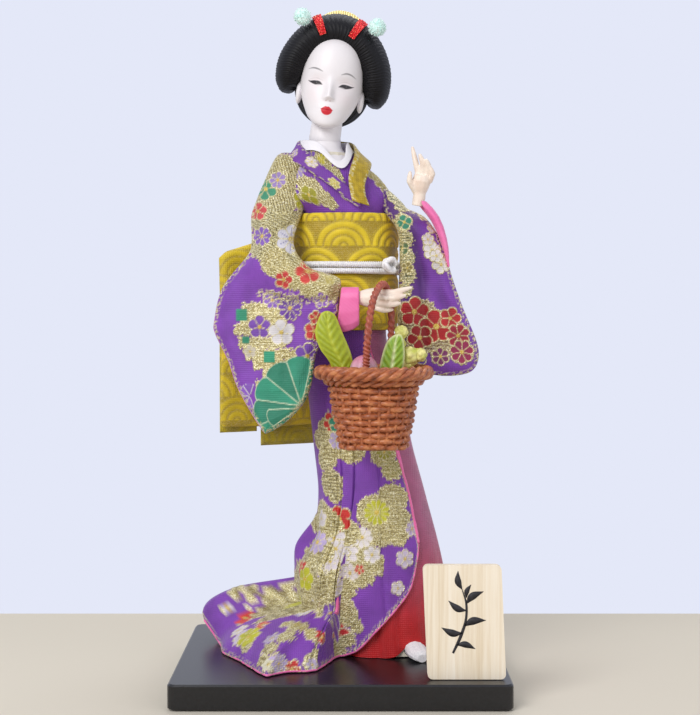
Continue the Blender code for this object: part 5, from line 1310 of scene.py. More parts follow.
turns = np.linspace(0, math.tau, 330, endpoint=False)
rows = np.linspace(0, 1, 80)
t, s = np.meshgrid(turns, rows)
h = sash_bottom + sash_height * s
rings = wave_rings(t * 21.0 + 5, h, arc_size)
rim_in = np.minimum(s, 1 - s) * sash_height
swell = -0.6 + 0.6 * np.sqrt(np.clip(rim_in / 1.2, 0, 1)) - 0.55 * np.exp(-(((h - 186) / 3.2) ** 2))
relief = swell + 0.6 * rings + 0.25 * lumpy(np.stack([t * 21, h, 0 * t], axis=-1), 12.0)
half_x, half_y = sash_half_x + relief, sash_half_y + relief
outer = np.stack([waist_x + half_x * np.cos(t), waist_y + half_y * np.sin(t), h], axis=-1)
inner = np.stack([waist_x + 22.8 * np.cos(t), waist_y + 17.2 * np.sin(t), h], axis=-1)
grid = np.concatenate([inner[:1], outer, inner[-1:]])
dark, bright, orange = (np.array(shade(c)) for c in ("#94780A", "#E6CA1E", "#D07C18"))
tone = dark + (bright - dark) * np.clip(0.25 + rings * 1.5, 0, 1)[..., None]
# Painted shade: orange is mixed into the side of the sash towards the viewer's right, which turns away from the
# lamps.
shaded_side = 0.45 * ease(np.cos(t - 0.1), 0.5, 1.0)[..., None]
tone = tone * (1 - shaded_side) + orange * shaded_side * (0.4 + 0.6 * rings[..., None])
dye = np.concatenate([tone[:1], tone, tone[-1:]])
gilt = np.concatenate([0 * rings[:1], 0.1 * (1 - rings), 0 * rings[:1]])
piece("gold_sash", grid, grid_faces(len(grid), 330, closed=True), sash_silk, ["obi_band"], dye=dye, gilt=gilt)
print("sash: ready")

# %% Waist cord
cord_silk = mottled(
    "braided_white_silk_cord", "#F2F1F7", 0.55, (900, 900, 900), ((0.3, "#ECECF4"), (0.6, "#FCFCFE")), 0.05,
    0.4, Sheen_Weight=0.2,
)


def braided(path, reach, turns_in_all, sides=9, strands=3, closed=False, swing=0.5):
    """Strands wound round a path, given as points in millimetres."""
    path = np.asarray(path, float)
    run = np.gradient(path, axis=0)
    if closed:
        run = np.roll(path, -1, axis=0) - np.roll(path, 1, axis=0)
    run /= np.linalg.norm(run, axis=1, keepdims=True)
    side = np.cross(run, (0.02, 0.01, 1.0))
    side /= np.linalg.norm(side, axis=1, keepdims=True)
    over = np.cross(side, run)
    share = np.linspace(0, 1, len(path), endpoint=not closed)
    parts = []
    for k in range(strands):
        angle = math.tau * (share * turns_in_all + k / strands)
        wound = np.cos(angle)[:, None] * side + np.sin(angle)[:, None] * over
        centre = (path + reach * swing * wound)[:, None]
        ring = np.linspace(0, math.tau, sides, endpoint=False)[None, :, None]
        loop = centre + reach * 0.55 * (np.cos(ring) * side[:, None] + np.sin(ring) * over[:, None])
        faces = capped(len(path), sides)
        if closed:
            last = (len(path) - 1) * sides
            faces[-2:] = [[last + c, last + (c + 1) % sides, (c + 1) % sides, c] for c in range(sides)]
        parts.append((loop.reshape(-1, 3), faces))
    return together(parts)


turns = np.linspace(0, math.tau, 420, endpoint=False)
path = np.stack([waist_x + 25.7 * np.cos(turns), waist_y + 20.1 * np.sin(turns), 186 + 0 * turns], axis=1)
lines = []
for level in (-1.45, 1.45):
    lines.append(braided(path + (0, 0, level), 1.45, 56, sides=6, closed=True))
piece("waist_cord", *together(lines), cord_silk, ["obi_cord"])
print("waist cord: ready")

# %% The cord's knot
loops = []
knot_turn = math.radians(-50)
centre = np.array((waist_x + 31.3 * math.cos(knot_turn), waist_y + 25.7 * math.sin(knot_turn), 187.0))
along, deep = np.array((0.64, 0.77, 0.0)), np.array((0.77, -0.64, 0.0))
u = np.linspace(0, math.tau, 120, endpoint=False)
for tip_turn in (0.0, 1.05, 2.1):
    loop = np.stack([3.2 * np.cos(u), 1.5 * np.sin(2 * u + tip_turn), 2.7 * np.sin(u)], axis=1)
    spin = np.array([[math.cos(tip_turn), math.sin(tip_turn)], [-math.sin(tip_turn), math.cos(tip_turn)]])
    flat = loop[:, (0, 2)] @ spin
    where = centre + flat[:, :1] * along * 0.9 + flat[:, 1:] * (0, 0, 0.85) + loop[:, 1:2] * deep * 0.7
    loops.append(braided(where, 1.25, 14, sides=6, closed=True))
piece("waist_cord_knot", *together(loops), cord_silk, ["obi_cord_knot"])
print("sash and cord")

# %% Bow and its loose ends
bow_x, bow_y, bow_gap, bow_turn = -12.3, 7.0, 22.45, math.radians(27)


def bow_frame(across, deep, upward):
    """Places on the bow, which is turned and stands bow_gap behind its turning point."""
    c, s = math.cos(bow_turn), math.sin(bow_turn)
    across, deep, upward = np.broadcast_arrays(across, np.asarray(deep, float) + bow_gap, upward)
    return np.stack([bow_x + c * across - s * deep, bow_y + s * across + c * deep, upward], axis=-1)


bow_outline = (
    (-34, 114), (-33, 149.75), (-34, 191.5), (-30.6, 194.5), (0, 204), (30.6, 203.5), (34, 195.5), (33, 149.75),
    (34, 114), (32, 112), (0, 111.5), (-32, 112),
)


def rows_between(corners, rows, columns):
    """Rows from side to side of a straight-edged outline, with the distance to its edge."""
    corners = np.asarray(corners, float)
    z = np.linspace(corners[:, 1].min() + 0.02, corners[:, 1].max() - 0.02, rows)
    left, right = sides_at(corners, z)
    s = 0.5 * np.linspace(0, 1, columns) + 0.25 * (1 - np.cos(np.linspace(0, 1, columns) * math.pi))
    x = left[:, None] + (right - left)[:, None] * s
    flat = np.stack([x, np.broadcast_to(z[:, None], x.shape)], axis=-1)
    return flat, np.maximum(-polygon_edge(flat.reshape(-1, 2), corners).reshape(x.shape), 0)


def loose_cloth(name, front, back, dye, gilt, look, stands_for):
    """Joins the front and back of a thin piece into one closed cloth."""
    behind = slice(None, None, -3)
    loops = np.concatenate([front, back[:, behind]], axis=1)
    dyes, gilts = (np.concatenate([tone, tone[:, behind]], axis=1) for tone in (dye, gilt))
    return piece(name, loops, capped(*loops.shape[:2]), look, stands_for, dye=dyes, gilt=gilts)


flat, inside = rows_between(bow_outline, 140, 120)
x, z = flat[..., 0], flat[..., 1]
half = 0.5 + 2.9 * np.sqrt(1 - (1 - np.clip(inside / 6, 0, 1)) ** 2) * (0.55 + 0.45 * (z > 159.75))
rings = wave_rings(x + 3, z, arc_size)
fold = -0.9 * np.exp(-(((z - 159.75) / 0.8) ** 2)) * ease(inside, 0.3, 3)
relief = (0.3 * rings + 0.5 * lumpy(np.stack([x, z, 0 * x], axis=-1), 14.0)) * ease(inside, 0, 3) + fold
front = bow_frame(x, 9.7 - half - relief * 0.8, z)
back = bow_frame(x, 9.7 + half + relief * 0.8, z)
tone = dark + (bright - dark) * np.clip(0.45 + 1.1 * rings, 0, 1)[..., None]
loose_cloth("gold_bow", front, back, tone, 0.18 * (1 - rings), sash_silk, ["obi_bow"])
for name, low, left, right, node in (
    ("bow_end_left", 109.0, -32.0, -13.0, "obi_tail_left"),
    ("bow_end_right", 102.0, -11.0, 28.0, "obi_tail_right"),
):
    corners = ((left, low), (left, 174.0), (right, 174.0), (right, low))
    flat, inside = rows_between(corners, 60, 44)
    x, z = flat[..., 0], flat[..., 1]
    rings = wave_rings(x + 3, z, arc_size)
    half = 0.15 + 0.75 * np.sqrt(np.clip(inside / 1.5, 0, 1))
    sway = 0.25 * np.sin((x - left) * 0.5) * (1 - ease(z, low + 8, low + 30))
    # Painted shade: the loose ends are dulled and tinted olive, because they hang in the bow's shade.
    shade_olive = np.array(shade("#A8A424"))
    tone = (dark + (bright - dark) * np.clip(0.3 + 0.7 * rings, 0, 1)[..., None]) * 0.55 + shade_olive * 0.4
    loose_cloth(
        name, bow_frame(x, 14.65 - half + sway * 0.6, z), bow_frame(x, 14.65 + half + sway * 0.6, z), tone,
        0.18 * (1 - rings), sash_silk, [node],
    )
print("bow")

# %% [markdown]
# ## The head
# The head is a smooth moulded shell with a matt white enamel, like powdered skin. Eyes, brows and lips are
# painted on it, so they are painted here too, on the shell's own points: thin black lids, soft grey brows and
# small red lips. The nose and lips stand out a little, as in the mould.

# %% Head
head_centre, head_tilt = (-4.6, 8.0, 268.0), math.radians(9)


def on_head(x, y, z):
    """Places on the tilted head: x across, y back and z up from its centre."""
    c, s = math.cos(head_tilt), math.sin(head_tilt)
    x, y, z = np.broadcast_arrays(x, y, z)
    return np.stack([head_centre[0] + x * c + z * s, head_centre[1] + y, head_centre[2] - x * s + z * c], axis=-1)


head_sections = (
    (-19.2, 2, -11.5, -7), (-18, 5, -12.9, -3.5), (-15, 8.2, -13.4, 2), (-12, 10, -13.4, 7),
    (-8, 11.9, -13.4, 10), (-4, 13.3, -13.2, 13), (0, 14.2, -13.3, 16), (5, 14.5, -14.1, 18),
    (10, 14.3, -14.3, 18.5), (15, 13.4, -13.6, 18), (19, 11.3, -11.5, 15.5), (22, 7.5, -7.5, 11),
    (23.6, 3, -2.5, 5.5),
)
h = np.concatenate([np.linspace(-19.2, -15.5, 12), np.linspace(-15.4, 7.5, 122), np.linspace(7.9, 23.6, 20)])
turns = np.concatenate(
    [np.linspace(-0.98 * math.pi, -0.02 * math.pi, 186), np.linspace(0.0, 0.98 * math.pi, 22)]
)
sections = through(head_sections, h)
half_x, front, back = (sections[:, k][:, None] for k in (0, 1, 2))
mid, half_y = (front + back) / 2, (back - front) / 2
x = half_x * np.cos(turns)[None]
y = mid + half_y * np.sin(turns)[None]
z = np.broadcast_to(h[:, None], x.shape)
facing = np.sin(turns)[None] < 0
nose = np.exp(-((x / 1.9) ** 2)) * ease(z, -8.2, -5.9) * (1 - ease(z, -5.9, 5.0))
sockets = sum(np.exp(-(((x - e) / 3.6) ** 2) - ((z - 0.6) / 2.6) ** 2) for e in (-6.8, 6.8))
wings = sum(np.exp(-(((x - e) / 0.9) ** 2) - ((z + 6.6) / 0.9) ** 2) for e in (-1.5, 1.5))
mouth = np.exp(-((x / 3.0) ** 2) - ((z + 11.8) / 1.9) ** 2)
parting = np.exp(-((x / 2.6) ** 2) - ((z + 11.75) / 0.28) ** 2)
cheeks = sum(np.exp(-(((x - e) / 4.0) ** 2) - ((z + 5.5) / 3.6) ** 2) for e in (-7.5, 7.5))
lid = sum(np.exp(-(((x - e) / 3.0) ** 2) - ((z - 0.2) / 1.3) ** 2) for e in (-6.8, 6.8))
y = (
    y
    + facing * (
        -2.7 * nose - 0.5 * wings + 0.95 * sockets - 0.35 * lid - 0.9 * mouth + 0.45 * parting - 0.25 * cheeks
    )
)
grid = on_head(x, y, z)
print("head: ready")

# %% Painting the face
skin, ink, lip, blush, iris = (
    np.array(shade(c)) for c in ("#E8E5EB", "#17131A", "#CC2433", "#E9C9CE", "#1E1618")
)
paint = np.broadcast_to(skin, (*x.shape, 3)).copy()


def brush(mask, code, strength=1.0):
    paint[:] = paint + (code - paint) * (np.clip(mask, 0, 1) * facing * strength)[..., None]


def stroke(points, widths, blur=0.22):
    """A brush stroke on the face through (x, z) places, with a width at each of them."""
    points = np.asarray(points, float)
    keyed = np.column_stack([np.linspace(0, 1, len(points)), points, widths])
    fine = through(keyed, np.linspace(0, 1, 40))
    best = np.full(x.shape, -1e9)
    for a in fine:
        best = np.maximum(best, a[2] - np.hypot(x - a[0], z - a[1]))
    return np.clip(best / blur + 0.5, 0, 1)


brush(cheeks * 0.8, blush, 0.22)
brush(sockets, blush, 0.18)
for side in (-1, 1):
    outer, inner_x = side * 9.6, side * 3.8
    brows = (
        ((-4.4, 4.9), (-6.6, 5.8), (-8.8, 6.2), (-10.9, 5.9)) if side < 0
        else ((4.2, 4.6), (6.3, 5.5), (8.5, 5.4), (10.6, 4.5))
    )
    brush(stroke(brows, (0.1, 0.3, 0.28, 0.08), 0.4), ink, 0.75)
    brush(
        stroke(
            ((inner_x, -0.75), (side * 5.4, -0.15), (side * 7.4, -0.2), (outer, 0.2)), (0.1, 0.66, 0.62, 0.1)
        ),
        iris,
    )
    brush(np.clip((0.85 - np.hypot(x - side * 6.7, (z + 0.15) * 1.05)) / 0.2 + 0.5, 0, 1) * (z < 0.42), iris)
    # A painted highlight: a small grey catchlight dot in each eye.
    brush(
        np.clip((0.16 - np.hypot(x - side * 6.7 - 0.3, z - 0.05)) / 0.12 + 0.5, 0, 1),
        np.array(shade("#8A8488")),
    )
    brush(
        stroke(
            ((inner_x, -0.85), (side * 5.3, 0.35), (side * 7.4, 0.5), (side * 9.2, 0.35), (side * 10.4, 0.75)),
            (0.12, 0.26, 0.34, 0.3, 0.08),
        ),
        ink,
    )
    brush(
        stroke(((inner_x + side * 0.3, -0.95), (side * 6.6, -1.05), (side * 9.3, -0.1)), (0.05, 0.11, 0.08)),
        ink, 0.75,
    )
    brush(stroke(((inner_x, 0.9), (side * 6.6, 1.9), (side * 9.6, 1.4)), (0.04, 0.1, 0.04), 0.5), ink, 0.25)
brush(
    stroke(
        (
            (-2.7, -11.7), (-1.3, -11.05), (-0.55, -10.8), (0, -11.05), (0.55, -10.8), (1.3, -11.05),
            (2.7, -11.7),
        ),
        (0.1, 0.42, 0.55, 0.5, 0.55, 0.42, 0.1),
    ),
    lip,
)
brush(
    stroke(
        ((-2.4, -11.75), (-1.2, -12.45), (0, -12.7), (1.2, -12.45), (2.4, -11.75)), (0.2, 1.1, 1.4, 1.1, 0.2)
    ),
    lip,
)
brush(parting * (np.abs(x) < 2.3), np.array(shade("#A01624")), 0.7)
for side in (-0.9, 0.9):
    brush(
        np.clip((0.28 - np.hypot((x - side) * 0.8, (z + 7.7) * 1.4)) / 0.2 + 0.5, 0, 1),
        np.array(shade("#B98A8C")), 0.6,
    )


print("painting the face: ready")

# %% Enamel, neck, chest and ears
enamel, tree, shader, where = finish_called(
    "white_face_enamel", "#F3EFF1", 0.42, 0.0, Coat_Weight=0.12, Coat_Roughness=0.35, Specular_IOR_Level=0.4
)
height = add(tree, "ShaderNodeTexNoise", {"Vector": where, "Scale": 250.0, "Detail": 3.0})
fed(tree, shader, add(tree, "ShaderNodeAttribute", attribute_name="dye"), height, 0.04, 0.4)
face = (grid.reshape(-1, 3), capped(len(h), len(turns)))
neck = rod(((-7.5, 10, 238.8), (-7.5, 10, 246), (-6.6, 10.2, 252), (-5.8, 11, 262)), (7.4, 7.2, 7.0, 7.4), 48)
chest_turns = np.linspace(0, math.tau, 72, endpoint=False)
chest = []
for share in np.linspace(0, 1, 16):
    level = 227.0 + 16.5 * share
    low_ring = around(bodice_sections, chest_turns, np.full(72, level), -0.8)
    neck_ring = np.stack(
        [-7.5 + 7.35 * np.cos(chest_turns), 10 + 7.35 * np.sin(chest_turns), np.full(72, level)], axis=-1
    )
    chest.append(low_ring + (neck_ring - low_ring) * ease(share, 0.45, 1.0))
chest = (np.array(chest).reshape(-1, 3), grid_faces(16, 72, closed=True).tolist())
ears = []
ring = np.linspace(0, math.tau, 28, endpoint=False)
for side in (-1, 1):
    polar = np.linspace(0.08, math.pi - 0.08, 20)
    a, b = np.meshgrid(ring, polar)
    reach = (
        1
        - 0.22 * np.exp(-((((a - (math.pi if side < 0 else 0)) + math.pi) % math.tau - math.pi) ** 2) / 0.25)
    )
    points = on_head(
        side * 14.3 + 1.7 * np.sin(b) * np.cos(a) * reach, 2.2 + 3.2 * np.sin(b) * np.sin(a),
        -3.6 + 5.2 * np.cos(b),
    )
    ears.append((points.reshape(-1, 3), capped(len(polar), len(ring))))
points, faces = together([face, neck, chest, *ears])
dye = np.broadcast_to(skin, (len(points), 3)).copy()
dye[: paint.size // 3] = paint.reshape(-1, 3)
piece("painted_head", points, faces, enamel, ["head"], dye=dye)
print("head", len(points))

# %% [markdown]
# ## Hair
# The hair is silk thread combed over pads: one big roll from ear to ear over the forehead, a back roll and a
# topknot. The combed strands are grooves that run along the way the thread was drawn, from the hairline back.

# %% Hair rolls
hair_silk = mottled(
    "black_silk_hair", "#0D0C10", 0.55, (1200, 60, 1200), ((0.3, "#060608"), (0.7, "#121116")), 0.12, 0.5,
    detail=3.0, grit=0.7, Specular_IOR_Level=0.22,
)
hair_roll = (
    (0, -19, 8, -3.2, 2, 5), (0.05, -19.6, 7.4, -1.4, 5, 9), (0.16, -19.6, 6.4, 4, 7.2, 13),
    (0.28, -17.2, 5, 12.3, 8.3, 14.5), (0.40, -10.2, 3.6, 20.9, 9.2, 15), (0.5, 0, 3.2, 24.7, 9.6, 15),
    (0.60, 10.2, 3.6, 20.9, 9.2, 15), (0.72, 17.2, 5, 12.3, 8.3, 14.5), (0.84, 19.6, 6.4, 3.4, 7.2, 13),
    (0.95, 19.6, 7.4, -2.2, 5, 9), (1, 19, 8, -4.0, 2, 5),
)


def on_roll(along, turn, offset=0.0):
    here = through(hair_roll, np.ravel(along))
    ahead = through(hair_roll, np.ravel(along) + 0.01) - through(hair_roll, np.ravel(along) - 0.01)
    ahead = ahead[:, (0, 2)]
    ahead /= np.linalg.norm(ahead, axis=1, keepdims=True)
    out_x, out_z = -ahead[:, 1].reshape(np.shape(along)), ahead[:, 0].reshape(np.shape(along))
    x, y, z, half_out, half_deep = (here[:, k].reshape(np.shape(along)) for k in range(5))
    reach_out = (half_out + offset) * np.cos(turn)
    return on_head(x + out_x * reach_out, y + (half_deep + offset) * np.sin(turn), z + out_z * reach_out)


def strand_waves(along, turn, seed):
    """Height of combed strands: fine grooves across the roll that drift a little."""
    drift = 0.006 * np.sin(2 * turn + seed) + 0.003 * np.sin(5 * turn + 2 * seed)
    return 0.10 * np.sin((along + drift) * 430 + seed) + 0.07 * np.sin((along + drift * 1.6) * 640 + 2 * seed)


for name, first, last, node in (
    ("hair_wing_right", 0.0, 0.365, "hair_side_right"), ("hair_front_roll", 0.365, 0.635, "hair_crown_front"),
    ("hair_wing_left", 0.635, 1.0, "hair_side_left"),
):
    share = np.linspace(first, last, int(520 * (last - first)))
    turn = np.linspace(0, math.tau, 54, endpoint=False)
    a, t = np.meshgrid(share, turn, indexing="ij")
    grid = on_roll(a, t, strand_waves(a, t, 3.0) - 0.1)
    piece(name, grid, capped(len(share), len(turn)), hair_silk, [node])
for name, centre, reach, node in (
    ("hair_back_roll", (0, 17, 2), (17.5, 17, 17.5), "hair_nape"),
    ("hair_topknot_hair", (0, 20.5, 23.5), (11.5, 11, 9.5), "hair_topknot"),
):
    a, t = np.meshgrid(
        np.linspace(0.03, math.pi - 0.03, 50), np.linspace(0, math.tau, 260, endpoint=False), indexing="ij"
    )
    wave = 0.12 * np.sin(t * 46 + 2 * np.sin(2 * a)) * np.sin(a) + 0.07 * np.sin(t * 67 + a)
    swell = 1 + (wave - 0.1) / 14
    grid = on_head(
        centre[0] + reach[0] * np.sin(a) * np.cos(t) * swell,
        centre[1] + reach[1] * np.sin(a) * np.sin(t) * swell, centre[2] + reach[2] * np.cos(a) * swell,
    )
    piece(name, grid, capped(50, 260), hair_silk, [node])
print("hair")

# %% [markdown]
# ## The basket
# The basket is woven: upright stakes with a thick cane passed in front of and behind them, row over row. The
# rim is a thick plaited border that flares outwards, and the handle is a hoop wrapped with split cane. All the
# strands are modelled, because light falls between them.

# %% Wicker and the basket
wicker = mottled(
    "varnished_wicker_cane", "#B0653A", 0.42, (260, 260, 420),
    ((0.28, "#6E3218"), (0.5, "#A85C34"), (0.72, "#D58E5C")), 0.06, 0.6, detail=4.0, grit=0.6, fine=1400.0,
    Coat_Weight=0.15, Coat_Roughness=0.3,
)
dark_cane = mottled(
    "wrapped_red_cane", "#A14A38", 0.45, (500, 500, 500), ((0.3, "#86382A"), (0.7, "#B9604A")), 0.06, 0.6,
    detail=3.0, fine=1400.0, Coat_Weight=0.15, Coat_Roughness=0.3,
)
print("wicker and the basket: ready")

# %% Weaving
basket_centre = np.array((14.2, -31.0))


def basket_ring(radius, level, count=420):
    a = np.linspace(0, math.tau, count, endpoint=False)
    return np.stack(
        [basket_centre[0] + radius * np.cos(a), basket_centre[1] + 0.9 * radius * np.sin(a), level + 0 * a],
        axis=1,
    )


def wall(share):
    return 15.2 + 5.0 * np.clip(share, 0, 1) ** 0.85


parts = []
round_angle = np.linspace(0, math.tau, 260, endpoint=False)
for k in range(10):
    share = (k + 0.5) / 10
    weave_in_out = (-1) ** k * np.cos(13 * round_angle)
    ring = basket_ring(
        wall(share) - 2.0 + 0.72 * weave_in_out, 107.5 + 27 * share + 0.35 * np.sin(3 * round_angle + k), 260
    )
    parts.append(braided(ring, 2.36, 0, sides=9, strands=1, closed=True, swing=0.0))
for k in range(26):
    a = math.tau * k / 26
    s = np.linspace(0.02, 1, 12)
    reach = wall(s) - 1.7
    path = np.stack(
        [
            basket_centre[0] + reach * math.cos(a), basket_centre[1] + 0.9 * reach * math.sin(a),
            107.8 + 27.2 * s,
        ],
        axis=1,
    )
    parts.append(rod(path, np.full(12, 0.75), 8))
piece("basket_weave", *together(parts), wicker, ["basket_body"])
s = np.concatenate([np.linspace(0, 1, 20), np.linspace(1, 0.04, 20)])
reach = np.concatenate([wall(s[:20]) - 2.1, wall(s[20:]) - 2.5])
level = 107.6 + 27 * s
profile = np.stack([basket_ring(r, z, 96) for r, z in zip(reach, level)])
piece("basket_lining_canes", profile, capped(40, 96), wicker)
parts = [
    braided(basket_ring(19.6, 136.9, 320), 2.3, 9, sides=7, strands=3, closed=True),
    braided(basket_ring(22.9, 140.2, 320), 3.0, 8, sides=8, strands=4, closed=True),
]
piece("basket_border", *together(parts), wicker, ["basket_rim"])
hoop = (
    (0, 11.2, -43.8, 128.5), (0.25, 11, -43.4, 149.6), (0.4, 13.6, -40.5, 170.7), (0.5, 18.2, -29, 178.2),
    (0.6, 21.8, -18.5, 170.7), (0.75, 21.6, -19, 149.6), (1, 17.6, -18.2, 128.5),
)
path = through(hoop, np.linspace(0, 1, 420))
piece(
    "basket_hoop", *together([braided(path, 2.2, 30, sides=10, strands=2, swing=0.2)]), dark_cane,
    ["basket_handle"],
)
print("basket")

# %% [markdown]
# ## Produce in the basket
# The produce is modelled in soft dough and painted: a tall yellow-green leaf, a darker leaf with a pale rib,
# a round pink-white root and a knobbly pale-yellow cluster.

# %% Leaves
painted_dough, tree, shader, where = finish_called(
    "painted_dough", "#B9BE20", 0.45, Coat_Weight=0.1, Coat_Roughness=0.35
)
dye = add(tree, "ShaderNodeAttribute", attribute_name="dye")
grain = add(tree, "ShaderNodeTexNoise", {"Vector": where, "Scale": 600.0, "Detail": 3.0})
dusty = add(tree, "ShaderNodeValToRGB", {"Fac": grain}, stops=((0.3, "#A8A8A8"), (0.7, "#FFFFFF")))
colour = add(tree, "ShaderNodeMix", {0: 0.3, 6: dye, 7: dusty}, 2, data_type="RGBA", blend_type="MULTIPLY")
fed(tree, shader, colour, grain, 0.15, 0.7)
leaf_shapes = (
    (
        "tall_leaf", "leaf_tall", -29.7, "#8FA010", "#A9B81A", "#C2CC3A",
        (
            (-15.9, -8.5), (-17.4, -0.5), (-18.6, 9), (-23.2, 16), (-25.2, 23.5), (-22.2, 31.5), (-17.2, 31),
            (-13.7, 23.5), (-9.2, 11.5), (-9.4, 0.5), (-11, -8.5),
        ),
    ),
    (
        "side_leaf", "leaf_side", -33.2, "#6FA01E", "#94B828", "#E6EDB4",
        ((2.6, -6.5), (2.4, 7.5), (6, 19.5), (12, 21.5), (13, 9.5), (8, -6.5)),
    ),
)
for name, node, depth_at, low_code, high_code, rib_code, offsets in leaf_shapes:
    outline = np.asarray(offsets, float) + (14.2, 134.5)
    flat, inside = bag(outline, 80, 34)
    x, z = flat[..., 0], flat[..., 1]
    sides = (x - x.min(axis=1, keepdims=True)) / np.maximum(np.ptp(x, axis=1)[:, None], 0.1)
    rib = np.exp(-(((sides - 0.5) / 0.07) ** 2))
    veins = 0.5 + 0.5 * np.cos((z - 6 * np.abs(sides - 0.5) * 2) * 1.9)
    half = 0.3 + 1.9 * np.clip(inside / 5.5, 0, 1) ** 0.6
    relief = (0.35 * veins - 0.5 * rib) * ease(inside, 0, 2)
    low_tone, high_tone, rib_tone = (np.array(shade(c)) for c in (low_code, high_code, rib_code))
    tone = low_tone + (high_tone - low_tone) * (0.35 + 0.65 * veins)[..., None]
    pale = np.clip(rib * 0.8 + (1 - ease(inside, 0, 1.2)) * 0.9, 0, 1)[..., None]
    tone = tone * (1 - pale) + rib_tone * pale
    front = np.stack([x, depth_at - half - relief, z], axis=-1)
    back = np.stack([x, depth_at + half + relief * 0.5, z], axis=-1)
    loose_cloth(name, front, back, tone, 0 * x, painted_dough, [node])


print("leaves: ready")

# %% Root and cluster
def ball(centre, reach, rows=60, columns=90, wave=None):
    """A round lump in millimetres, raised by a function of the direction."""
    a, t = np.meshgrid(
        np.linspace(0.02, math.pi - 0.02, rows), np.linspace(0, math.tau, columns, endpoint=False),
        indexing="ij",
    )
    way = np.stack([np.sin(a) * np.cos(t), np.sin(a) * np.sin(t), np.cos(a)], axis=-1)
    points = np.asarray(centre) + way * reach * (1 + (wave(way)[..., None] if wave else 0))
    return points.reshape(-1, 3), capped(rows, columns)


def scattered_ways(count):
    k = np.arange(count) + 0.5
    a, t = np.arccos(1 - 2 * k / count), math.pi * (1 + 5**0.5) * k
    return np.stack([np.sin(a) * np.cos(t), np.sin(a) * np.sin(t), np.cos(a)], axis=-1)


def knobbly(count, height):
    ways = scattered_ways(count)
    return lambda way: height * (np.exp(-(1 - (way @ ways.T).max(axis=-1)) * count * 0.55) - 0.6)


points, faces = ball(
    (10, -34.5, 141.5), (6.0, 5.8, 6.4),
    wave=lambda w: 0.03 * np.sin(9 * np.arctan2(w[..., 1], w[..., 0])) * (1 - w[..., 2] ** 2) - 0.02,
)
rise = ease(points[:, 2], 137, 148)[:, None]
piece(
    "round_root", points, faces, painted_dough, ["radish"],
    dye=np.array(shade("#F2DDE4")) * (1 - rise) + np.array(shade("#D985A8")) * rise,
)
lumps = [ball((24.7, -28.4, 144), (7, 3.4, 6), 70, 110, knobbly(46, 0.2))]
for dx, dz, r in ((10.5, 18, 3.4), (12, 23, 2.9), (15.5, 12.5, 4.2), (20, 13.1, 3.0)):
    lumps.append(ball((14.2 + dx, -28.4, 134.5 + dz), (r, r * 0.95, r), 44, 66, knobbly(20, 0.22)))
points, faces = together(lumps)
spots = unevenness(points[:, (0, 2)], 3.0, 2.0)[:, None]
tone = (
    np.array(shade("#F4EE9E"))
    + (np.array(shade("#C6CC5A")) - np.array(shade("#F4EE9E"))) * np.clip(0.4 + 0.5 * spots, 0, 1)
)
piece("knobbly_cluster", points, faces, painted_dough, ["vegetable_cluster"], dye=tone)
print("produce")

# %% [markdown]
# ## Hands, linings and the comb
# The hands are cast with separate fingers and finished in the same enamel as the face, a little warmer. Their
# shape is taken from the solids and rounded off, as casting and coats of enamel would round it. The pink
# linings that show in the sleeve openings are satin, and the comb is pale gold lacquer.

# %% Rounded-off castings
def rounded_off(name, node, look, voxel=0.35, rounds=7, flow=0.5):
    """A softer copy of a solid: remeshed finely in millimetres and smoothed."""
    source = bpy.data.objects[node]
    mesh = source.data.copy()
    mesh.transform(source.matrix_world)
    mesh.materials.clear()
    made = bpy.data.objects.new(name, mesh)
    bpy.context.scene.collection.objects.link(made)
    remesh = made.modifiers.new("fine", "REMESH")
    remesh.mode, remesh.voxel_size = "VOXEL", voxel * MM
    smooth = made.modifiers.new("soft", "SMOOTH")
    smooth.factor, smooth.iterations = flow, rounds
    bpy.context.view_layer.update()
    final = bpy.data.meshes.new_from_object(made.evaluated_get(bpy.context.evaluated_depsgraph_get()))
    made.modifiers.clear()
    made.data = final
    final.materials.clear()
    final.materials.append(look)
    final.shade_smooth()
    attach(made, BODY)
    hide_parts(node)
    return made


hand_enamel = mottled(
    "warm_hand_enamel", "#F3E6DA", 0.42, (180, 180, 180), ((0.3, "#EBD6C8"), (0.65, "#F6EBE0")), 0.04, 0.4,
    detail=3.0, fine=700.0, Coat_Weight=0.1, Coat_Roughness=0.35,
)
comb_lacquer, tree, shader, where = finish_called(
    "pale_gold_comb_lacquer", "#E8D27A", 0.35, 0.25, Coat_Weight=0.3, Coat_Roughness=0.2
)
spaced = add(tree, "ShaderNodeMapping", {"Vector": where, "Scale": (300, 300, 120)})
wave = {"Vector": spaced, "Scale": 1.0, "Distortion": 3.0, "Detail": 2.0}
lines = add(tree, "ShaderNodeTexWave", wave, "Fac", wave_type="BANDS", bands_direction="X")
golds = ((0.2, "#E3BE74"), (0.45, "#F0E488"), (0.8, "#F6F0AE"))
fed(tree, shader, add(tree, "ShaderNodeValToRGB", {"Fac": lines}, stops=golds), lines, 0.12, 0.6)
right_hand = rounded_off("cast_right_hand", "right_hand", hand_enamel)
left_hand = rounded_off("cast_left_hand", "left_hand", hand_enamel)
right_cuff = rounded_off("pink_cuff_right", "right_sleeve_lining", pink_satin, 0.35, 10)
left_cuff = rounded_off("pink_lining_left", "left_sleeve_lining", pink_satin, 0.35, 10)
comb = rounded_off("gold_comb_plate", "comb", comb_lacquer, 0.3, 5)
print("castings", [len(o.data.polygons) for o in (right_hand, left_hand, right_cuff, left_cuff, comb)])

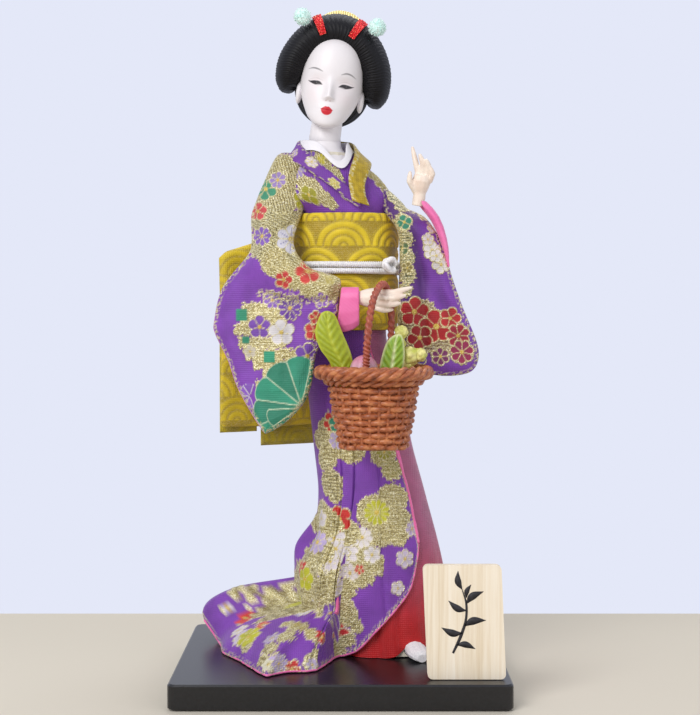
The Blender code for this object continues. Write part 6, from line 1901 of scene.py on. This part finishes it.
# %% Ribbons and tufts in the hair
foil = mottled(
    "red_foil_ribbon", "#C8202A", 0.3, (1700, 1700, 1700),
    ((0.35, "#8E0F18"), (0.5, "#D8242E"), (0.62, "#E8403C"), (0.7, "#F5C88A")), 0.2, 0.9, grit=0.7,
    metallic=0.5,
)
for name, middle_at, node in (
    ("foil_ribbon_right", 0.43, "hair_ribbon_right"), ("foil_ribbon_left", 0.56, "hair_ribbon_left")
):
    across, down = np.meshgrid(np.linspace(-0.014, 0.014, 22), np.linspace(-1.72, -0.5, 90), indexing="ij")
    crinkle = 0.28 * np.sin(down * 46 + 2.7 * across / 0.014) + 0.12 * np.sin(across * 700 + down * 13)
    top = on_roll(middle_at + across, down, 0.95 + crinkle)
    under = on_roll(middle_at + across, down, 0.4 + 0 * crinkle)
    loop = np.concatenate([top, under[::-1]], axis=0)
    faces = grid_faces(44, 90, closed=False).tolist()
    faces += [[43 * 90 + c, c, c + 1, 43 * 90 + c + 1] for c in range(89)]
    faces += [[r * 90 for r in range(44)], [r * 90 + 89 for r in reversed(range(44))]]
    piece(name, loop, faces, foil, [node])

tuft_wool = mottled(
    "mint_wool", "#C8F0EA", 0.8, (700, 700, 700), ((0.3, "#BCEAE6"), (0.65, "#E6FBF9")), 0.15, 0.8, detail=3.0,
    Sheen_Weight=0.4, Sheen_Roughness=0.5,
)
for name, along_at, node in (
    ("mint_tuft_right", 0.39, "hair_pompom_right"), ("mint_tuft_left", 0.605, "hair_pompom_left")
):
    centre = on_roll(np.array([along_at]), np.array([-0.8]), 4.95)[0]
    parts = [ball(centre, (3.5, 3.5, 3.5), 30, 44)]
    for way in scattered_ways(300):
        sag = way + rng.normal(0, 0.18, 3)
        sag /= np.linalg.norm(sag)
        reach = 4.45 - 0.55 * rng.random()
        parts.append(
            rod(
                (centre + sag * 2.6, centre + (sag * 0.97 + way * 0.03) * (reach * 0.8), centre + sag * reach),
                (0.42, 0.26, 0.05), 5,
            )
        )
    piece(name, *together(parts), tuft_wool, [node])
print("hair ornaments")

# %% [markdown]
# ## The tablet's decoration
# The wooden tablet carries a brushed sprig of autumn leaves in black ink: a curved stem and a few pointed
# leaves, each a thin flat shape lying on the wood like dried ink.

# %% Ink sprig
ink_paint = mottled(
    "black_brush_ink", "#17151A", 0.6, (900, 900, 900), ((0.3, "#0E0D10"), (0.7, "#26232A")), 0.03, 0.4
)


def on_tablet(u, v):
    """A place on the tablet's face: u across and v up, from its centre, in millimetres."""
    rise = np.asarray(v, float) + 24.2
    return np.stack(
        [52.3 + np.asarray(u, float) - 2.2 * (rise / 48.5 - 0.5), -47.5 - 0.10 + 0 * rise, 11.3 + rise],
        axis=-1,
    )


def brushed(path, widths):
    """A flat stroke along (u, v) places, with the width at each."""
    keyed = np.column_stack([np.linspace(0, 1, len(path)), path, widths])
    fine = through(keyed, np.linspace(0, 1, 40))
    run = np.gradient(fine[:, :2], axis=0)
    run /= np.maximum(np.linalg.norm(run, axis=1, keepdims=True), 1e-6)
    aside = np.column_stack([-run[:, 1], run[:, 0]]) * fine[:, 2:3] / 2
    left, right = fine[:, :2] + aside, fine[:, :2] - aside
    face_points = [on_tablet(p[:, 0], p[:, 1]) for p in (left, right)]
    loop = np.stack(
        [face_points[0], face_points[1], face_points[1] + (0, 0.12, 0), face_points[0] + (0, 0.12, 0)], axis=1
    )
    return loop.reshape(-1, 3), capped(40, 4)


strokes = [brushed(((-5.5, -13), (-2.0, -6), (0.5, 1), (1.0, 8), (-0.5, 14)), (0.9, 1.3, 1.0, 0.9, 0.3))]
for u, v, angle, reach in (
    (-0.5, 14, 100, 8), (1.1, 8, 35, 9), (0.9, 5, 150, 8.5), (-0.2, -1.5, 15, 9.5), (-1.2, -4.5, 165, 9),
    (-3.8, -9.5, -12, 8), (1.1, 10.5, 68, 6),
):
    c, s = math.cos(math.radians(angle)), math.sin(math.radians(angle))
    bend = 0.12 * reach
    strokes.append(
        brushed(
            (
                (u, v), (u + c * reach * 0.45 - s * bend, v + s * reach * 0.45 + c * bend),
                (u + c * reach, v + s * reach),
            ),
            (0.3, 0.34 * reach, 0.15),
        )
    )
piece("ink_sprig", *together(strokes), ink_paint)
print("ink sprig: ready")

# %% [markdown]
# ## What each cloth was before it was sewn
# Every cloth piece is listed with the size that it was cut to, and its surface is printed beside the cut
# area. The sizes come from the pieces' own surfaces, with seam turnings left out.

# %% Cloth sizes
for name, flat, held, rests in (
    ("rose_underskirt", (0.13, 0.155), "draped", ("base_board",)),
    ("robe_skirt", (0.145, 0.15), "gathered", ("base_board", "rose_underskirt")),
    ("robe_skirt_lining", (0.13, 0.15), "draped", ("base_board",)),
    ("front_lining_band", (0.01, 0.018), "hung", ("rose_underskirt",)),
    ("robe_bodice", (0.13, 0.046), "stretched", ("body_form",)),
    ("robe_collar_right", (0.06, 0.01), "laid", ("robe_bodice",)),
    ("robe_collar_left", (0.06, 0.01), "laid", ("robe_bodice",)),
    ("white_inner_collar", (0.1, 0.0106), "folded", ("robe_bodice",)),
    ("gold_sash", (0.14, 0.055), "stretched", ("body_form",)),
    ("bow_end_left", (0.019, 0.065), "hung", ("gold_bow",)),
    ("bow_end_right", (0.039, 0.072), "hung", ("gold_bow",)),
    ("foil_ribbon_right", (0.01, 0.0100), "folded", ("hair_front_roll",)),
    ("foil_ribbon_left", (0.01, 0.0100), "folded", ("hair_front_roll",)),
    ("pink_cuff_right", (0.02, 0.0185), "gathered", ("cast_right_hand",)),
    ("pink_lining_left", (0.01, 0.027), "hung", ("robe_sleeve_left",)),
):
    made = bpy.data.objects.get(name)
    surface = sum(face.area for face in made.data.polygons)
    print(f"{name}: surface {surface / 2 * 1e4:.1f} cm2, cut {flat[0] * flat[1] * 1e4:.1f} cm2")
# %% Triangle counts
counts = {
    o.name: sum(len(p.vertices) - 2 for p in o.data.polygons)
    for o in bpy.data.objects if o.type == "MESH" and not o.hide_render
}
print(
    "triangles", sum(counts.values()), "largest", sorted(((n, o) for o, n in counts.items()), reverse=True)[:9]
)

# %% Sizes and finish
bpy.context.view_layer.update()
low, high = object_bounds()
print("visual box", [round(v, 4) for v in (*low, *high)])
print("visual box", [round(v, 4) for v in (*low, *high)])
